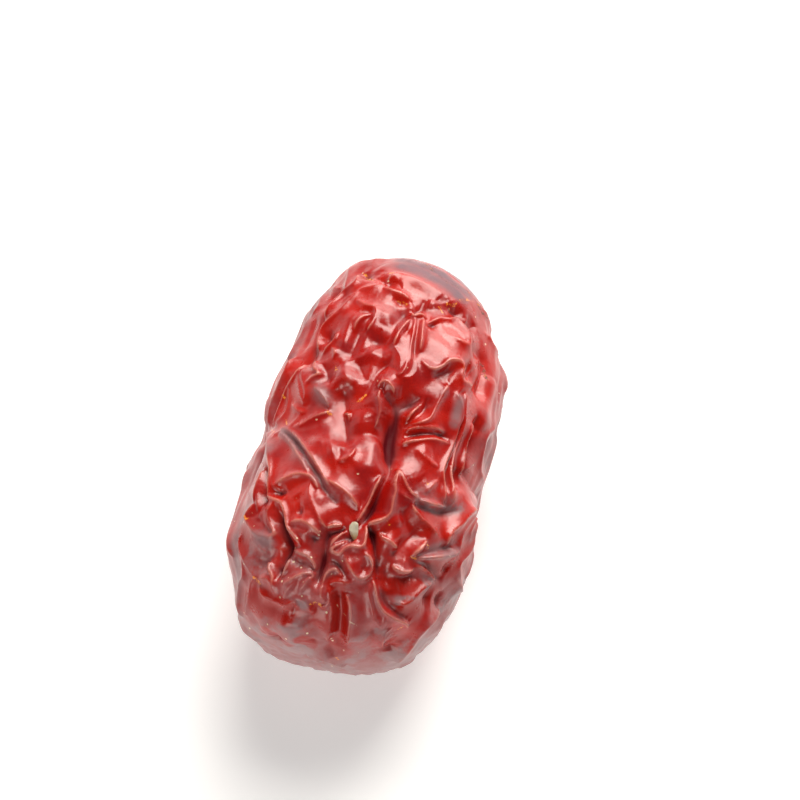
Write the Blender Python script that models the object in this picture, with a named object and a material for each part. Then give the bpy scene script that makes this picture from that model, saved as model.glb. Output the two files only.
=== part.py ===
"""A dried jujube (red date), lying on its side: one piece of fruit with a deeply wrinkled skin.

Metres, +Z up. The fruit's long axis is along Y, with the stalk end at +Y and the tip at -Y.
It lies on small flat spots at z = 0, under its two halves. Lengths below are in millimetres and
become metres at the end.
"""

import math
import random

import bpy
import numpy as np

# Size of the fruit, in millimetres
MM = 0.001
LENGTH = 47.6
WIDTH = 26.8
THICKNESS = 25.0
BLUNTNESS_TIP_END = 2.95
BLUNTNESS_STALK_END = 2.3
WAIST_NARROWING = 0.065
WAIST_SPREAD = 0.16
STALK_HALF_NARROWING = 0.04
TIP_LEAN = -0.6
STALK_LEAN = -0.2

# The two ends
STALK_CAVITY_DEPTH = 2.4
STALK_CAVITY_RADIUS = 3.0
STALK_SCAR_RADIUS = 1.3
TIP_DIMPLE_DEPTH = 0.9
TIP_DIMPLE_RADIUS = 1.8

# How far the lowest part is cut off level, and how far round it the folds are kept low
FLAT_SPOT_CUT = 0.45
FLAT_SPOT_CALM_RADIUS = 4.0

# Faces of the finished solid
TRIANGLES = 11200
SEED = 7

# The fine mesh and the skin's colour
SPHERE_SUBDIVISIONS = 7
SKIN_COLOR = (0.42, 0.022, 0.014, 1.0)
SKIN_ROUGHNESS = 0.28

# Where the folds are drawn from: a point above the near end, looking down on the fruit
EYE_AZIMUTH = 13.0
EYE_ELEVATION = 65.0
EYE_DISTANCE = 240.0

# Kinds of fold: height over the skin, how far the slope reaches, radius of the crest or floor
KINDS = {
    "crest": (0.35, 0.65, 0.08),
    "ridge": (0.70, 0.80, 0.10),
    "swell": (0.50, 1.30, 0.60),
    "crease": (-1.30, 0.50, 0.12),
    "gully": (-2.00, 0.80, 0.20),
    "hollow": (-1.05, 1.00, 0.45),
}
SAG_BETWEEN_FOLDS = -0.40
EDGE_OF_SIGHT_STRENGTH = 0.5

# Folds on the upper side, each a kind and its line in millimetres right and up from the middle,
# as seen from the eye point
LONG_FOLD_LEFT = (
    ("crease", (-3.6, 18.4), (-4.9, 16.4), (-5.9, 14.8), (-6.4, 13.4), (-6.7, 12), (-7.2, 11),
     (-8, 9.9), (-8.6, 9.1), (-9.7, 7.7), (-10.3, 6.2), (-10.8, 5), (-11.3, 4.2)),
    ("crest", (-9.2, 11), (-8.3, 13), (-7.2, 15), (-6.4, 17), (-5.6, 18.4), (-5, 19)),
    ("crest", (-6.6, 15.7), (-5.9, 16.5), (-5.3, 17.6), (-4.9, 18.4), (-4.2, 18.5), (-3.6, 18.6)),
    ("ridge", (-5.2, 15.6), (-4.5, 16.5), (-3.8, 17.4), (-3, 18.2), (-2.3, 18.6), (-1.7, 19),
     (-1.4, 19.7)),
    ("ridge", (-8.7, 11), (-9.2, 9.6), (-10, 8.2), (-10.6, 7), (-11.1, 5.8), (-11.5, 4.2)),
    ("ridge", (-7.3, 10.8), (-8, 9.6), (-8.6, 8.7), (-9.1, 8), (-9.6, 7), (-9.9, 6), (-10.3, 5),
     (-10.8, 4.1)),
    ("crest", (-9, 7.9), (-9, 6.5), (-9.3, 5.4), (-9.9, 4.7), (-10.4, 4.2)),
    ("crest", (-8, 9.7), (-7.8, 8.5), (-7.6, 7.5), (-7.3, 6.4)),
    ("crest", (-7.5, 9.9), (-7.4, 9), (-7.1, 8.2), (-7, 7.3), (-7.3, 6.4)),
    ("crest", (-6.2, 10.9), (-6.1, 10), (-5.7, 9.6), (-6.3, 9), (-6.8, 8.5), (-7.2, 8.1)),
)
STALK_SHOULDER = (
    ("crest", (-6.1, 12.5), (-6, 13.3), (-5.7, 14), (-5.2, 14.6), (-4.4, 15.3), (-3.7, 15.8),
     (-3, 16.4), (-2.5, 17), (-1.9, 17.6), (-1.5, 18.2)),
    ("crest", (-3, 18.6), (-2.7, 19.3), (-2.3, 20), (-2.2, 20.6), (-2.9, 21)),
    ("crest", (-4.8, 19.1), (-4, 20), (-3, 20.9), (-2.2, 21.4), (-1.3, 21.9)),
    ("crest", (-2.2, 20.5), (-1, 20.8), (0, 21.1), (1, 21.4), (2.2, 21.8)),
    ("crest", (2.5, 22), (2.6, 21.4), (2.8, 20.8), (2.7, 20.2), (2.4, 19.9)),
    ("ridge", (1.4, 19.1), (2.1, 19.7), (2.8, 19.9), (3.6, 19.8), (4.5, 19.5), (5.5, 19.1),
     (6.5, 18.7), (7.2, 18.3), (7.7, 17.9), (8.1, 17.3)),
    ("crease", (2.3, 19.8), (1.9, 19.6), (1.4, 19.1), (0.6, 18.8)),
    ("crease", (-1, 20.1), (-0.5, 19.8), (-0.1, 19.5)),
    ("swell", (0.9, 20.9), (1.7, 20.6)),
    ("crest", (-1.4, 18.4), (0, 18.6), (1, 18.9), (1.5, 19.2)),
    ("crest", (1.2, 18.7), (2, 18.4), (3, 18.1), (4, 17.8)),
    ("crease", (2.2, 17.8), (3, 17.4), (3.9, 17.1)),
    ("crease", (4, 16.7), (4.7, 16.5), (5.3, 16.9), (5.9, 17.6)),
    ("swell", (6.2, 17.6), (6.6, 16.6)),
    ("swell", (2.2, 17.3), (1.6, 16.5), (0.9, 15.6)),
    ("hollow", (3.9, 17), (3.2, 16), (2.6, 15), (2.2, 14.1), (1.4, 13.4), (0.5, 13.4),
     (-0.6, 13.9)),
    ("hollow", (0.2, 16.4), (-0.7, 15.5), (-1.3, 14.8), (-1.8, 13.8), (-2.2, 12.8), (-2.5, 12),
     (-2.4, 11.2)),
    ("crest", (-1.6, 17.2), (-0.8, 16.8), (0, 16.7), (0.4, 16.4), (0.3, 15.8), (0, 15),
     (-0.6, 14.4)),
    ("crest", (0, 16.1), (-1, 15.6), (-1.6, 15), (-2.1, 14.2)),
    ("ridge", (-3, 15.1), (-2.6, 14.4), (-2.7, 13.6), (-3.2, 13)),
    ("hollow", (-4.2, 14.1), (-4.8, 13.6), (-5.4, 12.9)),
    ("crest", (-3.7, 14), (-4, 13.2), (-4.8, 12.5), (-5.5, 12)),
    ("crest", (-4.4, 12.4), (-4, 12), (-4.2, 11.5)),
    ("crease", (8.3, 16.7), (9, 16.3), (9.8, 16.3)),
    ("crest", (8.1, 17.2), (9.2, 17.4), (10, 17.4)),
    ("crease", (9.9, 15.4), (10.3, 14.8), (11.3, 14.7)),
    ("crest", (10.6, 17.6), (11.4, 16.5), (12.2, 15.3), (13, 14.2)),
)
BIG_PILLOW = (
    ("ridge", (4.3, 16.3), (4.5, 15.9), (5.2, 16), (5.8, 15.7)),
    ("crest", (4.6, 15.6), (4.5, 14.5), (4.2, 13), (4.1, 12), (4, 11), (3.8, 10.2)),
    ("crease", (5, 15.3), (4.8, 14.5), (4.65, 13.5), (4.5, 12), (4.4, 11)),
    ("ridge", (5.5, 15.4), (5.3, 14.4), (5.2, 13), (5.1, 12)),
    ("ridge", (4, 15.5), (3.6, 14.9), (2.9, 14), (2.5, 13.2), (2.3, 12.6)),
    ("crease", (4, 14.8), (3.7, 14.2), (3.2, 13.6)),
    ("crest", (2.3, 12.7), (2.6, 12.1), (3, 11.6), (3.1, 11), (2.9, 10.2)),
    ("swell", (6.2, 13.6), (7.2, 12.8), (8.2, 13.6)),
    ("swell", (6.6, 11.8), (7.4, 12.4)),
    ("crest", (5.8, 15), (6.6, 15.3), (7.3, 15.5), (8.2, 15.3), (8.9, 15.6)),
    ("crease", (5.9, 14.7), (6.5, 14.9), (7.2, 15)),
    ("crest", (8.9, 15.7), (9.3, 15), (9.8, 14), (10, 13), (9.9, 12.3), (9.2, 12.6), (8.6, 13.2)),
    ("crest", (12.3, 13.6), (12.7, 12.7), (13.1, 12), (13.5, 11.4)),
    ("crease", (12.9, 14), (13.1, 13), (13.3, 12), (13.6, 11)),
    ("crease", (10.3, 12.5), (11, 12.1), (11.7, 11.8), (12.1, 11.2), (12.2, 10.2), (12.1, 9.2),
     (11.9, 8), (11.7, 6.8)),
    ("ridge", (5.3, 10.9), (6, 10.15), (6.7, 10), (7.4, 10.3), (8, 10.8), (9, 10.6), (9.4, 9.9),
     (9.2, 9.2), (9.4, 8.6), (10, 8.4), (10.7, 8.2)),
    ("hollow", (6.3, 9.1), (7, 9.5), (8, 9.8), (8.7, 9.5)),
    ("crease", (10.4, 10.9), (10.2, 10), (9.6, 9.2)),
    ("ridge", (3.7, 11), (3.6, 10.4), (3.2, 9.7), (2.7, 9.5)),
    ("crest", (3.1, 9.2), (4.1, 9.3), (4.7, 9.9), (4.6, 10.6)),
    ("crest", (9, 7.4), (9.6, 8), (10.6, 8.1)),
)
MIDDLE = (
    ("crease", (-1.5, 6.9), (-0.8, 7.6), (-0.3, 8.4), (0.2, 9.3), (0.8, 10.2), (1.7, 11),
     (2.1, 11.6)),
    ("ridge", (0.6, 8.2), (1.2, 8.7), (1.7, 8.5), (2.1, 8), (2.3, 7.7)),
    ("ridge", (0.85, 7.7), (0.7, 7), (0.8, 6), (0.7, 5), (0.4, 4.1)),
    ("gully", (1.3, 7.2), (1.8, 6.9), (2.3, 6.5), (2.7, 5.9), (2.8, 5), (2.6, 4), (2.4, 3),
     (2.3, 1.5), (2.2, 0), (2, -1), (1.3, -2.1), (0.9, -3), (0.3, -4.5), (-0.3, -5.5),
     (-1, -6.3)),
    ("gully", (3, 5.8), (3.5, 6.2), (4, 6.3), (4.8, 6.7), (5.4, 7)),
    ("ridge", (5.1, 6.2), (4.5, 5.7), (4.1, 5.2), (3.8, 4.7)),
    ("crease", (6.1, 7.2), (5.9, 6.2), (5.4, 5.5), (4.8, 5)),
    ("ridge", (8, 8.3), (7.5, 7.5), (7.1, 6.7), (6.6, 5.8), (6.2, 5), (5.6, 4.5), (4.9, 4.3),
     (4.3, 4.3)),
    ("crest", (3.8, 3.75), (5, 3.85), (6.5, 3.8), (7.7, 3.4)),
    ("crease", (3.7, 3.1), (5, 3.25), (6.5, 3.2), (7.3, 3), (8.1, 2.6)),
    ("crest", (3.5, 2.4), (5, 2.5), (6.5, 2.5), (7.7, 2.2), (8, 2)),
    ("swell", (4.6, 1.5), (6.4, 1.2)),
    ("crest", (5.1, 1.3), (5.6, 0.7), (6.2, 0.1), (6.9, -0.3)),
    ("crest", (-8.7, 6.2), (-8.3, 5.9), (-7.8, 5.5), (-7.3, 5.4)),
    ("crest", (-4.7, 5.6), (-5.6, 5.2), (-6.3, 4.9), (-7, 4.5), (-7.7, 4.1), (-8.4, 4)),
    ("crest", (-6, 8), (-5.5, 7.4), (-5, 6.8), (-4.7, 6.2)),
    ("crest", (-3.1, 5.7), (-2.6, 5.4), (-2.5, 4.9)),
    ("hollow", (-3.3, 8.2), (-3.1, 6.5), (-3, 5), (-2.9, 3.5), (-2.8, 2)),
    ("swell", (-0.9, 5.4), (-1, 4.2)),
    ("swell", (-3, 9.4), (-2.3, 8.4)),
    ("swell", (-4.8, 1.2), (-3.6, 1.5)),
    ("swell", (-6.2, 1.8), (-5.4, 2.9)),
    ("swell", (-8.3, 4.9), (-8, 4.5)),
    ("swell", (-1.6, -0.8), (-0.5, -0.2), (-0.1, 0.8), (0.3, 2.2), (0.9, 3)),
    ("crest", (-3.5, 0.4), (-2.8, 0.5), (-2.1, 1), (-1.8, 1.6)),
    ("crest", (-10, 3.2), (-9.2, 2.7), (-8.5, 1.9), (-7.9, 1), (-7.4, 0.2), (-6.8, -0.9),
     (-6.3, -1.6)),
    ("crease", (-9.6, 3.2), (-8.9, 2.9), (-8.2, 2.2), (-7.6, 1.4), (-7, 0.5), (-6.4, -0.4),
     (-5.8, -1.4), (-5.3, -2.3), (-4.8, -3), (-4.2, -3.6), (-3.5, -4.1)),
    ("crest", (-9.8, 3.7), (-9, 3.5), (-8.2, 2.9), (-7.4, 2), (-6.7, 1.1), (-6.1, 0.3),
     (-5.4, -0.8), (-4.9, -1.7), (-4.3, -2.6)),
)
LEFT_FLANK = (
    ("ridge", (-11.5, 3.2), (-11.1, 1.8), (-10.9, 0), (-10.8, -1.2), (-10.9, -2.6), (-11, -3.6)),
    ("crease", (-11.3, -0.3), (-11.2, -1), (-11.3, -2.2), (-11.4, -3.4), (-11.4, -4.6)),
    ("ridge", (-11.7, -0.9), (-11.9, -1.8), (-12.2, -2.8), (-12.5, -4.1)),
    ("crest", (-12.1, -3), (-12.1, -4), (-12.1, -5)),
    ("crest", (-11.2, 3), (-10.8, 2.6), (-10.4, 3), (-10, 3.3)),
    ("ridge", (-10.2, -2.3), (-9.3, -1.8), (-8.3, -1.3), (-7.5, -1.15), (-6.5, -1.35),
     (-6, -1.9), (-5.7, -2.6)),
    ("crest", (-10.8, -1.2), (-10.6, -2.2), (-10.2, -2.6), (-9.7, -2.8)),
    ("crease", (-10.6, -2.8), (-10, -3), (-9.2, -3)),
    ("ridge", (-11.1, -3.5), (-10.4, -3.9), (-9.7, -4.2), (-9.4, -4.7), (-9.2, -5.4),
     (-9.1, -6.2), (-8.9, -6.9), (-8.5, -7.4), (-8, -8), (-7.6, -8.7)),
    ("gully", (-9.9, -4.9), (-9.7, -5.8), (-9.6, -6.8), (-9.3, -7.8), (-9, -8.7), (-9.2, -9.5),
     (-9.7, -10.5), (-10.1, -11.6), (-10.2, -12.6)),
    ("ridge", (-10.4, -4.3), (-10.9, -5), (-11, -5.8), (-10.8, -6.5), (-10.5, -7.2),
     (-10.6, -7.6), (-11.1, -7.9), (-11.9, -7.7), (-12.5, -7.3), (-13, -6.5), (-13.2, -5.9),
     (-12.9, -5.3), (-12.5, -4.6)),
    ("swell", (-12.1, -5.4), (-12.1, -6.2)),
    ("crest", (-12.9, -8), (-12.3, -8.6), (-11.8, -9.2), (-11.4, -9.6)),
    ("hollow", (-12.2, -11.3), (-11.6, -10.6), (-10.9, -9.8), (-10.4, -8.9)),
    ("crest", (-14.1, -8), (-14.1, -9), (-13.8, -10), (-13.5, -10.8), (-13, -11.5),
     (-12.5, -12.2), (-12.9, -12.8), (-13.1, -13.8), (-13.3, -15), (-13.6, -16.4)),
    ("crest", (-13.9, -10.5), (-13.8, -11.5), (-13.9, -12.4), (-14.3, -13), (-14.5, -15),
     (-14.2, -16.5)),
    ("crest", (-11.1, -10.5), (-10.9, -11.5), (-10.6, -12.1), (-10.5, -13), (-10.4, -14.1)),
)
LEFT_OF_THE_DEEP_FOLD = (
    ("ridge", (-4.9, -1.6), (-4, -2.1), (-3, -2.8), (-2.2, -3.5), (-1.4, -4.6)),
    ("swell", (-6, -2.8), (-5.2, -4.4)),
    ("swell", (-8, -2.6), (-7.6, -3.5)),
    ("crest", (-6.6, -2), (-6.6, -3.2), (-6.3, -4.1), (-5.9, -5), (-5.4, -6), (-5, -6.6)),
    ("hollow", (-8.1, -5.2), (-7.2, -5)),
    ("ridge", (-8.9, -6.5), (-8.2, -6.2), (-7.4, -6.2), (-6.6, -6.5), (-6, -7), (-5.6, -7.4)),
    ("crest", (-8.3, -6.95), (-7.7, -7.2), (-7.2, -7.5), (-6.6, -7.3), (-6.1, -7.2),
     (-5.7, -7.5)),
    ("crease", (-6.9, -7.7), (-6.2, -7.75), (-5.4, -7.9)),
    ("crest", (-3.2, -6.5), (-4.1, -6.5), (-4.8, -6.7)),
    ("gully", (-2.8, -6.9), (-3.6, -7), (-4.4, -7.2), (-4.9, -7.9), (-5, -8.8), (-5.2, -9.8),
     (-5.4, -10.8), (-5.7, -12), (-5.8, -13)),
    ("crest", (-4.5, -8.7), (-3.9, -8), (-3.3, -7.4), (-2.9, -7.2)),
    ("crease", (-1.6, -7.4), (-2.4, -7.9), (-3.2, -8.2), (-3.9, -8.7)),
    ("ridge", (-2.6, -8.1), (-3.3, -8.5), (-4.3, -9.1), (-3.9, -9.5), (-3.4, -9.6), (-3, -9.1),
     (-2.5, -8.8), (-1.9, -8.8), (-1.3, -8.9), (-0.9, -8.6), (-0.7, -8), (-0.5, -7),
     (-0.6, -6.6)),
    ("ridge", (-3, -9.5), (-2.8, -10), (-2.4, -11), (-1.8, -11.9), (-1.3, -12.25),
     (-0.7, -12.1), (-0.2, -11.6), (0, -10.8), (-0.3, -10), (-0.8, -9.5)),
    ("crease", (-2.2, -9.5), (-1.6, -10.2), (-0.9, -11), (-0.5, -11.4)),
    ("gully", (-4.2, -10), (-3.7, -10.7), (-3.1, -11.4), (-2.6, -12)),
    ("crest", (-5.3, -13), (-5, -12), (-4.5, -11.4), (-3.9, -11.2), (-3.4, -11.6), (-3, -12.2)),
    ("crest", (-4.4, -12.7), (-3.5, -12.6), (-2.5, -12.7), (-1.9, -12.3)),
    ("hollow", (-8.4, -9.9), (-7.7, -10.5), (-6.9, -11.1)),
    ("crest", (-8.9, -10.2), (-9.1, -11), (-9.6, -12)),
    ("ridge", (-9.3, -13), (-8.5, -12.4), (-7.7, -11.9), (-6.8, -11.7), (-6.2, -11.8)),
    ("ridge", (-7.6, -13.6), (-7.1, -12.9), (-6.6, -12.3), (-6.2, -12)),
    ("crest", (-8.3, -9.2), (-7.6, -9.5), (-6.9, -9.8), (-6.3, -10.6), (-6.1, -11.4)),
)
RIGHT_OF_THE_DEEP_FOLD = (
    ("ridge", (2.8, -0.6), (2.6, -1.3), (2.4, -2.2), (2.4, -3), (2.2, -3.7), (2.1, -4.4),
     (1.9, -5.2), (1.5, -5.7), (0.8, -6), (0.2, -6.2), (-0.3, -6.3)),
    ("crest", (1, -1.3), (0.3, -2.6), (-0.3, -4), (-0.9, -5), (-1.5, -6)),
    ("crest", (2.4, -3.1), (3, -3.2), (3.5, -3.5), (4, -3.7), (4.6, -3.9)),
    ("crease", (3.2, -0.4), (3.6, -1), (4, -1.8), (4.2, -2.5), (4.6, -2.9), (5, -3.3)),
    ("ridge", (2.9, -0.7), (3.2, -1.5), (3.5, -2.2), (4, -2.9), (4.5, -3.3), (5, -3.6)),
    ("crease", (4.6, -4.1), (5.2, -4.45), (6.2, -4.8), (7.2, -5.1), (8.4, -5.25), (9.2, -5.1)),
    ("crest", (5.2, -3.9), (6.2, -4.25), (7.2, -4.5), (8.1, -4.7)),
    ("crest", (4.3, -4.4), (4.7, -5.2), (5.2, -5.9), (5.8, -6.4), (6.4, -7.1), (6.9, -7.6)),
    ("crest", (5.9, -2.9), (6.6, -2.2), (7.1, -1.8)),
    ("swell", (2.4, -5.3), (2.8, -6.8)),
    ("hollow", (3.3, -4.6), (3.7, -5.6), (4.1, -6.5), (4.4, -7.3)),
    ("crest", (0.9, -7.2), (1.3, -7.9), (2, -8.3), (2.4, -8.7), (2.8, -9)),
    ("hollow", (5.3, -6.8), (4.8, -7.5), (4, -8.2), (3.3, -8.8), (2.8, -9.4), (2.6, -10.2)),
    ("ridge", (5.7, -8.3), (5.3, -8.8), (4.8, -9.3), (4.3, -9.8)),
    ("ridge", (2.4, -11), (3, -11.5), (3.7, -11.6), (4.3, -11.4)),
    ("crease", (2.4, -12), (3.3, -12.1), (4.3, -12.1), (5, -12.4)),
    ("ridge", (11.8, -4.2), (11.4, -4.6), (10.8, -5), (10.2, -5.3), (9.7, -5.9), (9.3, -6.5),
     (8.8, -6.9), (8.2, -7.4), (8, -8), (8, -8.7)),
    ("crest", (11.3, -4.8), (10.8, -5.6), (10.3, -6.3), (9.8, -7), (9.5, -7.8), (9.4, -8.6),
     (9.3, -9.5)),
    ("crest", (11.4, -5), (11, -6), (10.6, -6.8), (10.4, -7.6), (10.5, -8.2)),
    ("crest", (11.4, -5.2), (11.3, -6.5), (11, -7.5), (10.9, -8.5), (10.6, -9.3), (10.2, -9.9),
     (9.7, -10.5), (9.3, -11.1), (9.3, -12), (9.4, -13)),
    ("crease", (4.8, -9.9), (6, -9.65), (7.3, -9.35), (8.6, -9)),
    ("ridge", (4.7, -10.1), (6, -10.1), (7.5, -9.95), (8.8, -9.7), (9.3, -9.3)),
    ("crease", (4.8, -10.5), (5.6, -10.8), (6.2, -11.2), (6.9, -11.9), (7.4, -12.4), (8, -12.5)),
    ("crest", (4.7, -10.8), (5.5, -11.3), (6.2, -11.8), (6.9, -12.5)),
    ("hollow", (7.9, -11), (8.4, -11.7)),
    ("gully", (-0.4, -6.6), (0.2, -7.3), (0.5, -8.3), (0.6, -9.5), (0.8, -11), (0.9, -12.5),
     (1.1, -14), (1.5, -15.2), (2.3, -15.7), (3, -16.1), (3.9, -16.9)),
)
RIGHT_FLANK = (
    ("ridge", (8.9, 7.3), (9.2, 6.5), (9.4, 5.6), (9.3, 4.8), (9, 4), (8.8, 3), (8.5, 2),
     (8.1, 1), (7.7, 0), (7.5, -1), (7.7, -2), (7.8, -3), (7.7, -4.2)),
    ("crease", (9.5, 4.6), (9.2, 3.8), (8.9, 2.6), (8.5, 1.2), (8.1, 0), (7.9, -1), (8, -2),
     (8.1, -3.3)),
    ("ridge", (9.8, 7.3), (9.7, 5.8), (9.6, 4.4), (9.3, 3.2), (8.9, 2), (8.6, 1), (8.4, 0),
     (8.3, -1), (8.5, -2.2), (8.6, -4.3)),
    ("ridge", (10.5, 4), (10.2, 3), (9.9, 2), (9.7, 1), (9.5, 0), (9.5, -1)),
    ("hollow", (9, -0.4), (9, -1.8), (9.1, -3)),
    ("crease", (11.2, 5), (11.1, 4), (10.7, 3), (10.3, 2), (10, 1), (9.9, 0), (10.1, -1),
     (10.8, -2.2), (11.4, -3.1), (11.9, -3.9)),
    ("swell", (13, 9), (12.8, 7.5), (12.3, 6), (11.9, 4.5), (11.7, 3.3)),
    ("crest", (13.9, 5.8), (13.5, 4.3), (12.9, 3.5), (12.3, 3), (12, 2.3), (11.9, 1.5),
     (11.7, 0.5), (11.6, -1), (11.9, -2), (12.3, -2.9)),
    ("ridge", (9, -12.5), (9.4, -14)),
    ("crease", (10.2, -13.3), (10.1, -14.5), (9.2, -15.2)),
    ("ridge", (9, -16.2), (8, -16.7), (7.2, -18), (6.3, -19.6)),
)
TIP_DOME = (
    ("ridge", (-12, -13.4), (-11.2, -14.3), (-10.2, -14.9), (-9.2, -15.1), (-8.2, -14.7),
     (-7.9, -15.2)),
    ("crest", (-12, -12.4), (-11, -12.3), (-10.5, -13.2), (-10.4, -14.1)),
    ("ridge", (-8, -12.6), (-8.7, -13.2), (-9.3, -14.3)),
    ("crest", (-8.2, -14.3), (-7.2, -14.7), (-6.5, -15.8)),
    ("swell", (-5.4, -13.6), (-6.4, -14.7)),
    ("ridge", (-5.3, -13), (-5.4, -14), (-4.9, -14.8)),
    ("crest", (-4.6, -13.2), (-4.5, -14), (-4.6, -14.9), (-5, -15.3), (-5.5, -15.3)),
    ("hollow", (-3.7, -13.2), (-3.4, -14), (-3.3, -16), (-3.4, -18), (-3.7, -20.3)),
    ("ridge", (-2.8, -14), (-2.4, -15), (-2.3, -16.5), (-2.5, -18), (-2.7, -19.4)),
    ("crest", (-4.3, -15), (-4.5, -17), (-4.8, -19.2)),
    ("hollow", (-5, -19.3), (-4, -21)),
    ("swell", (-12, -18), (-10, -17.5), (-9, -17.2), (-8, -17.3), (-7.3, -18)),
    ("swell", (-8.3, -17.5), (-8.3, -19), (-7.9, -20)),
    ("hollow", (-10.3, -19), (-10, -19.6)),
    ("hollow", (-6.3, -19), (-6.3, -19.7)),
    ("crest", (-7, -21), (-5.2, -21.1), (-4.2, -21.6), (-3, -22)),
    ("ridge", (0.2, -12.5), (0.4, -14), (0.8, -15.3), (1.4, -16), (2.5, -16.6), (3.3, -16.9),
     (3.6, -17.4)),
    ("crest", (1.3, -16.3), (1.2, -17.2), (1.1, -17.7)),
    ("crest", (-0.3, -12.8), (-0.3, -14), (0, -15.5), (0.3, -16.8), (1, -17.7)),
    ("ridge", (6.4, -12.8), (5.2, -13.4), (4.2, -14.2), (3.2, -14.9), (2.4, -14.9)),
    ("crease", (8, -14), (7.6, -14.7), (7.2, -15.9)),
    ("hollow", (5.6, -14.4), (6.6, -14.8)),
    ("ridge", (7.3, -15.9), (6.2, -16.8), (5.4, -17.4), (4.6, -18.5), (4, -19.5), (3.2, -20.6),
     (2.5, -21.4)),
    ("crest", (5, -17.7), (4.2, -18.5), (3.8, -19.2)),
    ("crest", (1.9, -17.7), (1.3, -18.3), (1.1, -19.3), (1.2, -20)),
    ("hollow", (2.3, -19.9), (2.2, -20.7)),
)
FOLDS = (
    LONG_FOLD_LEFT + STALK_SHOULDER + BIG_PILLOW + MIDDLE + LEFT_FLANK
    + LEFT_OF_THE_DEEP_FOLD + RIGHT_OF_THE_DEEP_FOLD + RIGHT_FLANK + TIP_DOME
)

# Broad dents and bulges of the body: place as seen from the eye point, rise, spread
DENTS = (
    ((-12.6, 1.2), -0.9, 2.2),
    ((13.2, 1.0), -0.6, 3.0),
    ((-9.8, 13.0), -0.6, 3.5),
    ((13.6, 8.5), 0.5, 3.5),
    ((-1.0, 22.0), 0.5, 5.0),
    ((12.8, -8.0), -0.6, 3.0),
    ((-14.0, -1.5), -0.7, 2.5),
)

# The same folds run over the flanks and the underside, turned round the long axis and end for end
FLANK_TURNS = (118.0, -118.0)
FLANK_CLEARANCE = 0.9

# What is still bare then gets folds that grow by a rule. On the rim seen from the eye point they
# run lengthways: the belt's half width is a cosine, and the wander is per step
GROWN_STEP = 0.9
GROWN_CLEARANCE = 1.6
GROWN_TRIES = 3000
GROWN_WANDER = 0.26
RIM_WIDTH = 0.36
RIM_WANDER = 0.10

# Away from the upper side raised folds are a little lower, and all are faint on the tip's dome
RAISED_STRENGTH = 0.8
SUNKEN_STRENGTH = 1.1
TIP_DOME_STRENGTH = 0.4
TIP_DOME_START = 0.36

# Short folds gathered round the stalk cavity: how many, and how far from the long axis they run
STALK_FOLDS = 13
STALK_FOLD_START = 1.7
STALK_FOLD_REACH = (4.5, 8.0)


def sight_axes(azimuth, elevation):
    """Right, up and back directions of someone who looks at the fruit from this side."""
    turn = math.radians(azimuth)
    lift = math.radians(elevation)
    back = np.array([
        math.sin(turn) * math.cos(lift),
        -math.cos(turn) * math.cos(lift),
        math.sin(lift),
    ])
    right = np.array([math.cos(turn), math.sin(turn), 0.0])
    return right, np.cross(back, right), back


def sideways(along):
    """How far the body's middle line bends to the side at a place between -1 and 1 along it."""
    return TIP_LEAN * np.clip(-along, 0, 1) ** 2 + STALK_LEAN * np.clip(along, 0, 1) ** 3


def turned(axes, degrees):
    """The same three directions, mirrored end for end and turned round the long axis."""
    angle = math.radians(degrees)
    result = []
    for x, y, z in axes:
        result.append(np.array([
            x * math.cos(angle) + z * math.sin(angle),
            -y,
            z * math.cos(angle) - x * math.sin(angle),
        ]))
    return result


def fullness(points):
    """Below 1 inside the plain body and above 1 outside it. The body's middle is at the origin."""
    along = 2 * points[:, 1] / LENGTH
    middle = WAIST_NARROWING * np.exp(-((along + 0.02) / WAIST_SPREAD) ** 2)
    stalk_half = STALK_HALF_NARROWING / (1 + np.exp(-(along - 0.1) / 0.12))
    beside = points[:, 0] - sideways(along)
    across = np.hypot(beside * 2 / WIDTH, points[:, 2] * 2 / THICKNESS)
    across = across / (1 - middle - stalk_half)
    blunt = np.where(along < 0, BLUNTNESS_TIP_END, BLUNTNESS_STALK_END)
    return (across ** blunt + np.abs(along) ** blunt) ** (1 / blunt)


def onto_body(points):
    """Moves points along lines through the middle until they lie on the plain body."""
    for _ in range(4):
        points = points / fullness(points)[:, None]
    return points


def dropped(line, axes):
    """A line drawn on the sight plane, thrown along the lines of sight onto the plain body."""
    right, up, back = axes
    flat = np.array(line, float)
    target = flat[:, :1] * right + flat[:, 1:] * up
    eye = back * EYE_DISTANCE
    steps = np.linspace(0.90, 1.06, 260)
    samples = eye + steps[:, None, None] * (target - eye)
    depth = fullness(samples.reshape(-1, 3)).reshape(len(steps), -1)
    inside = depth <= 1
    first = np.where(inside.any(axis=0), inside.argmax(axis=0), depth.argmin(axis=0))
    return onto_body(samples[first, np.arange(len(flat))])


def rounded(line):
    """A smooth line through the given points, with a point about every third of a millimetre."""
    if len(line) == 2:
        line = np.array([line[0], (line[0] + line[1]) / 2, line[1]])
    padded = np.vstack([2 * line[0] - line[1], line, 2 * line[-1] - line[-2]])
    pieces = []
    for a, b, c, d in zip(padded, padded[1:], padded[2:], padded[3:]):
        count = max(2, int(np.linalg.norm(c - b) / 0.35))
        t = np.linspace(0, 1, count, endpoint=False)[:, None]
        pieces.append(0.5 * (2 * b + (c - a) * t + (2 * a - 5 * b + 4 * c - d) * t * t
                             + (3 * b - a - 3 * c + d) * t ** 3))
    return np.vstack(pieces + [line[-1:]])


def facing(points, axes):
    """1 where the body's skin looks straight at the eye, 0 on the rim and below 0 beyond it."""
    return points @ axes[2] / np.linalg.norm(points, axis=-1)


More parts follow.
